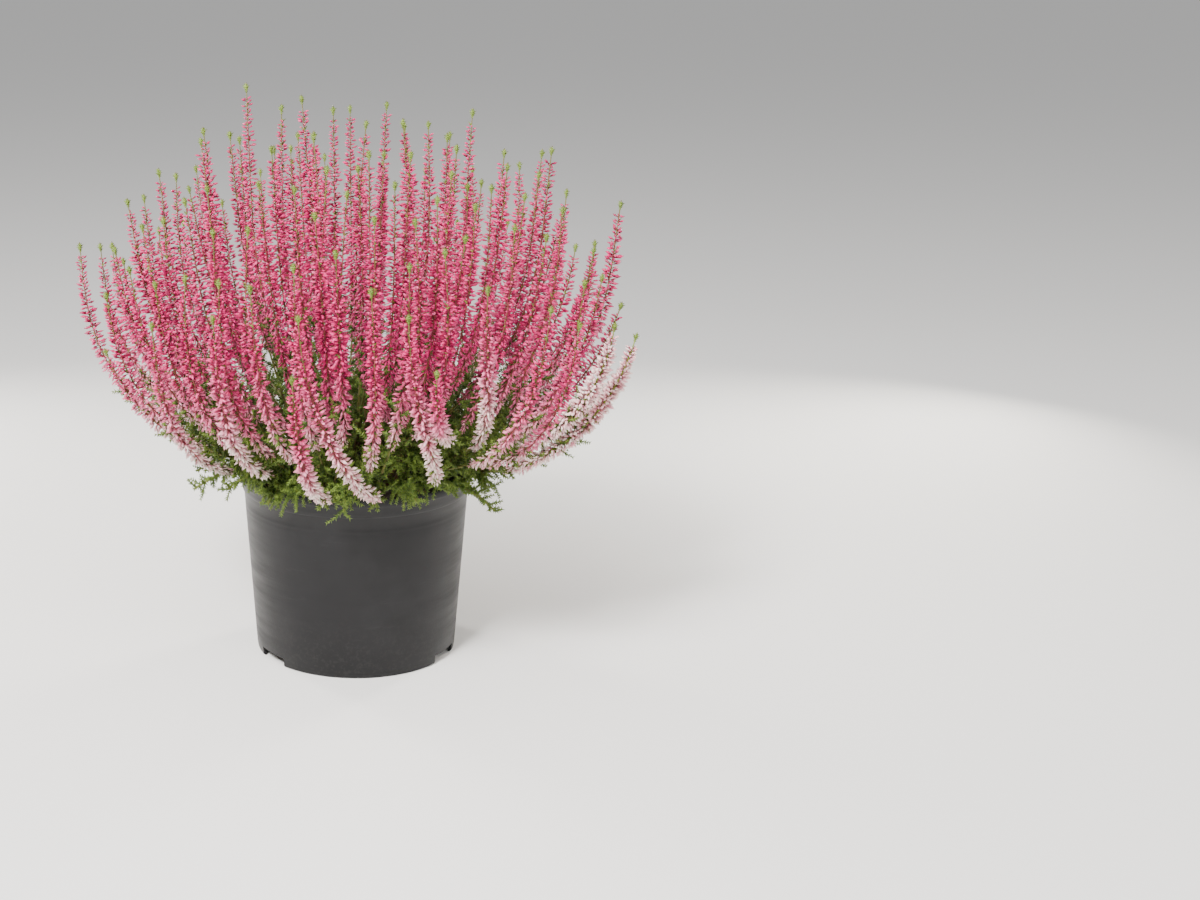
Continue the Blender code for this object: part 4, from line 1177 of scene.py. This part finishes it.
def build_soil(material):
    """Peat with a crumbly top, whose middle is crowned and whose edge sags."""
    rng = np.random.default_rng(CRUMB_SEED)
    crumbs = rng.uniform(-1.0, 1.0, (CRUMBS, 3)) * CRUMB_SPREAD
    turns = 2.0 * math.pi * np.arange(SOIL_SEGMENTS) / SOIL_SEGMENTS
    profile = [(0.0, soil_height(0.0, 0.0))]
    for radius in np.linspace(0.0, inner_radius(SOIL_EDGE_HEIGHT) - GAP, SOIL_RINGS)[1:]:
        x = radius * np.sin(turns)
        y = -radius * np.cos(turns)
        near = (x[:, None] - crumbs[None, :, 0]) ** 2 + (y[:, None] - crumbs[None, :, 1]) ** 2
        grain = (np.exp(-near / CRUMB_RADIUS ** 2) * crumbs[None, :, 2] * CRUMB_RELIEF).sum(axis=1) * MM
        edge = smooth((radius - SOIL_EDGE_RADIUS) / SOIL_EDGE_WIDTH)
        profile.append((radius, soil_height(x, y) - SOIL_SAG * edge + grain * (1.0 - edge)))
    bottom = PLATE_TOP + GAP
    profile += [(inner_radius(bottom) - GAP, bottom), (0.0, bottom)]
    soil = turned_mesh("soil_peat", profile, SOIL_SEGMENTS)
    soil.data.flip_normals()
    soil.data.shade_smooth()
    soil.data.materials.append(material)
    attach(soil, "root")
    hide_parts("soil")


# Materials

SCUFF_COLOUR = (0.024, 0.024, 0.025, 1.0)
DUST_COLOUR = (0.075, 0.070, 0.062, 1.0)
DUST_HEIGHT = 0.045
DUST_MOST = 0.09


def grey(value):
    return value, value, value, 1.0


class Nodes:
    """A material's node tree. The methods that add a node return its output socket."""

    def __init__(self, name):
        self.material = bpy.data.materials.new(name)
        self.material.use_nodes = True
        self.tree = self.material.node_tree
        self.shader = self.tree.nodes["Principled BSDF"]

    def feed(self, node, inputs):
        """Each input gets another node's output, or a constant."""
        for key, value in inputs.items():
            if isinstance(value, bpy.types.NodeSocket):
                self.tree.links.new(value, node.inputs[key])
            else:
                node.inputs[key].default_value = value

    def add(self, kind, output, inputs, **settings):
        node = self.tree.nodes.new(kind)
        for key, value in settings.items():
            setattr(node, key, value)
        self.feed(node, inputs)
        return node.outputs[output]

    def noise(self, scale, detail, roughness, stretch=(1.0, 1.0, 1.0)):
        here = self.add("ShaderNodeTexCoord", "Object", {})
        here = self.add("ShaderNodeMapping", "Vector", {"Vector": here, "Scale": stretch})
        return self.add("ShaderNodeTexNoise", "Fac", {
            "Vector": here, "Scale": scale, "Detail": detail, "Roughness": roughness})

    def ramp(self, source, *stops):
        node = self.tree.nodes.new("ShaderNodeValToRGB")
        elements = node.color_ramp.elements
        elements[0].position, elements[0].color = stops[0]
        elements[1].position, elements[1].color = stops[-1]
        for position, value in stops[1:-1]:
            elements.new(position).color = value
        self.feed(node, {"Fac": source})
        return node.outputs["Color"]

    def span(self, source, low, high, to_low, to_high):
        return self.add("ShaderNodeMapRange", "Result", {
            "Value": source, "From Min": low, "From Max": high, "To Min": to_low, "To Max": to_high})

    def blend(self, factor, first, second, kind="MIX"):
        return self.add("ShaderNodeMix", "Result", {"Factor": factor, "A": first, "B": second},
                        data_type="RGBA", blend_type=kind)

    def bump(self, source, strength, distance, **onto):
        return self.add("ShaderNodeBump", "Normal", {
            "Height": source, "Strength": strength, "Distance": distance, **onto})


def plant_material(name, roughness, streak_scale):
    """The colours of the vertices, with fine streaks of light and dark."""
    nodes = Nodes(name)
    tint = nodes.add("ShaderNodeVertexColor", "Color", {}, layer_name="tint")
    shade = nodes.ramp(nodes.noise(streak_scale, 3.0, 0.55), (0.30, grey(0.72)), (0.70, grey(1.18)))
    nodes.feed(nodes.shader, {
        "Base Color": nodes.blend(1.0, tint, shade, "MULTIPLY"),
        "Roughness": roughness,
        "Specular IOR Level": 0.35,
    })
    return nodes.material


def pot_material():
    """Dark matt plastic, clouded, with flow streaks round it, pale scuffs, and dust low down."""
    nodes = Nodes("pot_plastic_scuffed")
    cloud = nodes.ramp(nodes.noise(20.0, 6.0, 0.6), (0.25, (0.0040, 0.0040, 0.0046, 1.0)),
                       (0.55, (0.0060, 0.0060, 0.0068, 1.0)), (0.80, (0.0115, 0.0115, 0.0124, 1.0)))
    scratches = nodes.noise(60.0, 8.0, 0.75, (0.5, 0.5, 3.5))
    worn = nodes.ramp(scratches, (0.60, grey(0.0)), (0.78, grey(0.55)))
    here = nodes.add("ShaderNodeTexCoord", "Object", {})
    height = nodes.add("ShaderNodeSeparateXYZ", "Z", {"Vector": here})
    low = nodes.span(height, DUST_HEIGHT, 0.0, 0.0, DUST_MOST)
    specks = nodes.ramp(nodes.noise(420.0, 4.0, 0.7), (0.50, grey(0.0)), (0.62, grey(1.0)))
    dusty = nodes.add("ShaderNodeMath", "Value", {0: low, 1: specks}, operation="MULTIPLY")
    streaks = nodes.noise(34.0, 7.0, 0.65, (0.35, 0.35, 4.0))
    dents = nodes.bump(nodes.noise(16.0, 2.0, 0.5, (1.0, 1.0, 0.7)), 0.5, 0.0030)
    grain = nodes.bump(nodes.noise(900.0, 3.0, 0.6), 0.10, 0.0004, Normal=dents)
    nodes.feed(nodes.shader, {
        "Base Color": nodes.blend(dusty, nodes.blend(worn, cloud, SCUFF_COLOUR), DUST_COLOUR),
        "Roughness": nodes.span(streaks, 0.3, 0.7, 0.33, 0.52),
        "Normal": grain,
        "Specular IOR Level": 0.27,
    })
    return nodes.material


def soil_material():
    nodes = Nodes("peat_crumb")
    cloud = nodes.noise(260.0, 8.0, 0.7)
    nodes.feed(nodes.shader, {
        "Base Color": nodes.ramp(cloud, (0.30, (0.010, 0.007, 0.005, 1.0)),
                                 (0.52, (0.030, 0.020, 0.013, 1.0)), (0.78, (0.085, 0.058, 0.036, 1.0))),
        "Roughness": 0.95,
        "Normal": nodes.bump(cloud, 0.9, 0.0016),
    })
    return nodes.material


# Camera, floor and light

SENSOR = 36.0
PHOTO_WIDTH = 1200.0
FOCAL_PIXELS = 1739.0
POT_COLUMN = 356.0
PITCH = math.radians(15.5)
FLOOR_REACH = 60.0
FLOOR_COLOUR = (0.80, 0.79, 0.77, 1.0)
FLOOR_ROUGHNESS = 0.9
SKY_COLOUR = (0.93, 0.95, 1.0, 1.0)
SKY_STRENGTH = 0.20
# Name, place, aim, size, power, colour and spread of each lamp
LAMPS = (
    ("key", (-0.7, -1.3, 1.5), (0.0, 0.0, 0.2), (0.50, 0.50), 112.0, (1.0, 0.98, 0.96), 180.0),
    ("fill", (0.9, -1.1, 0.9), (0.0, 0.0, 0.2), (0.9, 0.9), 12.0, (1.0, 0.99, 0.97), 180.0),
    ("left_strip", (-0.62, 0.62, 0.36), (0.0, 0.0, 0.15), (0.16, 0.5), 4.3, (1.0, 0.96, 0.90), 130.0),
    ("right_strip", (0.62, 0.62, 0.36), (0.0, 0.0, 0.15), (0.16, 0.5), 4.3, (1.0, 0.95, 0.86), 130.0),
)
OVERHEAD_POWER = 1.3
OVERHEAD_WIDTH = math.radians(70.0)
OVERHEAD_TURN = (math.radians(15.0), math.radians(-10.0), 0.0)


def make_camera():
    """In front of the pot, pitched down a little, with the frame moved over to its right as in
    the photograph."""
    camera = put("camera", bpy.data.cameras.new("camera"))
    camera.data.sensor_width = SENSOR
    camera.data.lens = SENSOR * FOCAL_PIXELS / PHOTO_WIDTH
    camera.data.shift_x = (PHOTO_WIDTH / 2.0 - POT_COLUMN) / PHOTO_WIDTH
    camera.location = (0.0, -SIGHT_DISTANCE, SIGHT_HEIGHT)
    camera.rotation_euler = (math.pi / 2.0 - PITCH, 0.0, 0.0)
    bpy.context.scene.camera = camera


def add_lamp(name, place_at, aim, size, power, tint, spread_degrees):
    light = bpy.data.lights.new(name, "AREA")
    light.shape = "RECTANGLE"
    light.size, light.size_y = size
    light.energy = power
    light.color = tint
    light.spread = math.radians(spread_degrees)
    lamp = put(name, light)
    lamp.location = place_at
    lamp.rotation_euler = (Vector(aim) - Vector(place_at)).to_track_quat("-Z", "Y").to_euler()
    lamp.visible_camera = False


def make_stage():
    """A plain pale floor, a dim sky, four lamps and soft light from above."""
    reach = FLOOR_REACH
    corners = [(-reach, -reach, 0.0), (reach, -reach, 0.0), (reach, reach, 0.0), (-reach, reach, 0.0)]
    floor = put_mesh("floor", corners, [(0, 1, 2, 3)])
    nodes = Nodes("floor_paper")
    nodes.feed(nodes.shader, {"Base Color": FLOOR_COLOUR, "Roughness": FLOOR_ROUGHNESS})
    floor.data.materials.append(nodes.material)
    world = bpy.data.worlds.new("studio")
    bpy.context.scene.world = world
    world.use_nodes = True
    background = world.node_tree.nodes["Background"]
    background.inputs["Color"].default_value = SKY_COLOUR
    background.inputs["Strength"].default_value = SKY_STRENGTH
    for lamp in LAMPS:
        add_lamp(*lamp)
    overhead = bpy.data.lights.new("overhead", "SUN")
    overhead.energy = OVERHEAD_POWER
    overhead.angle = OVERHEAD_WIDTH
    put("overhead", overhead).rotation_euler = OVERHEAD_TURN


def main():
    make_camera()
    make_stage()
    sprays = make_sprays()
    obstacles = rim_samples()
    for shoots in sprays:
        for shoot in shoots:
            obstacles = with_more(obstacles, samples_of_shoot(shoot))
        foot = leader_foot(shoots[0])[0]
        obstacles = with_more(obstacles, samples_of_stem(foot, TRUNK_RADIUS))
    tufts = make_tufts(obstacles)
    build_sprays(sprays, plant_material("heather_bloom", 0.55, 900.0))
    build_tufts(tufts, plant_material("heather_leaves", 0.6, 700.0))
    build_pot(pot_material())
    build_soil(soil_material())


main()
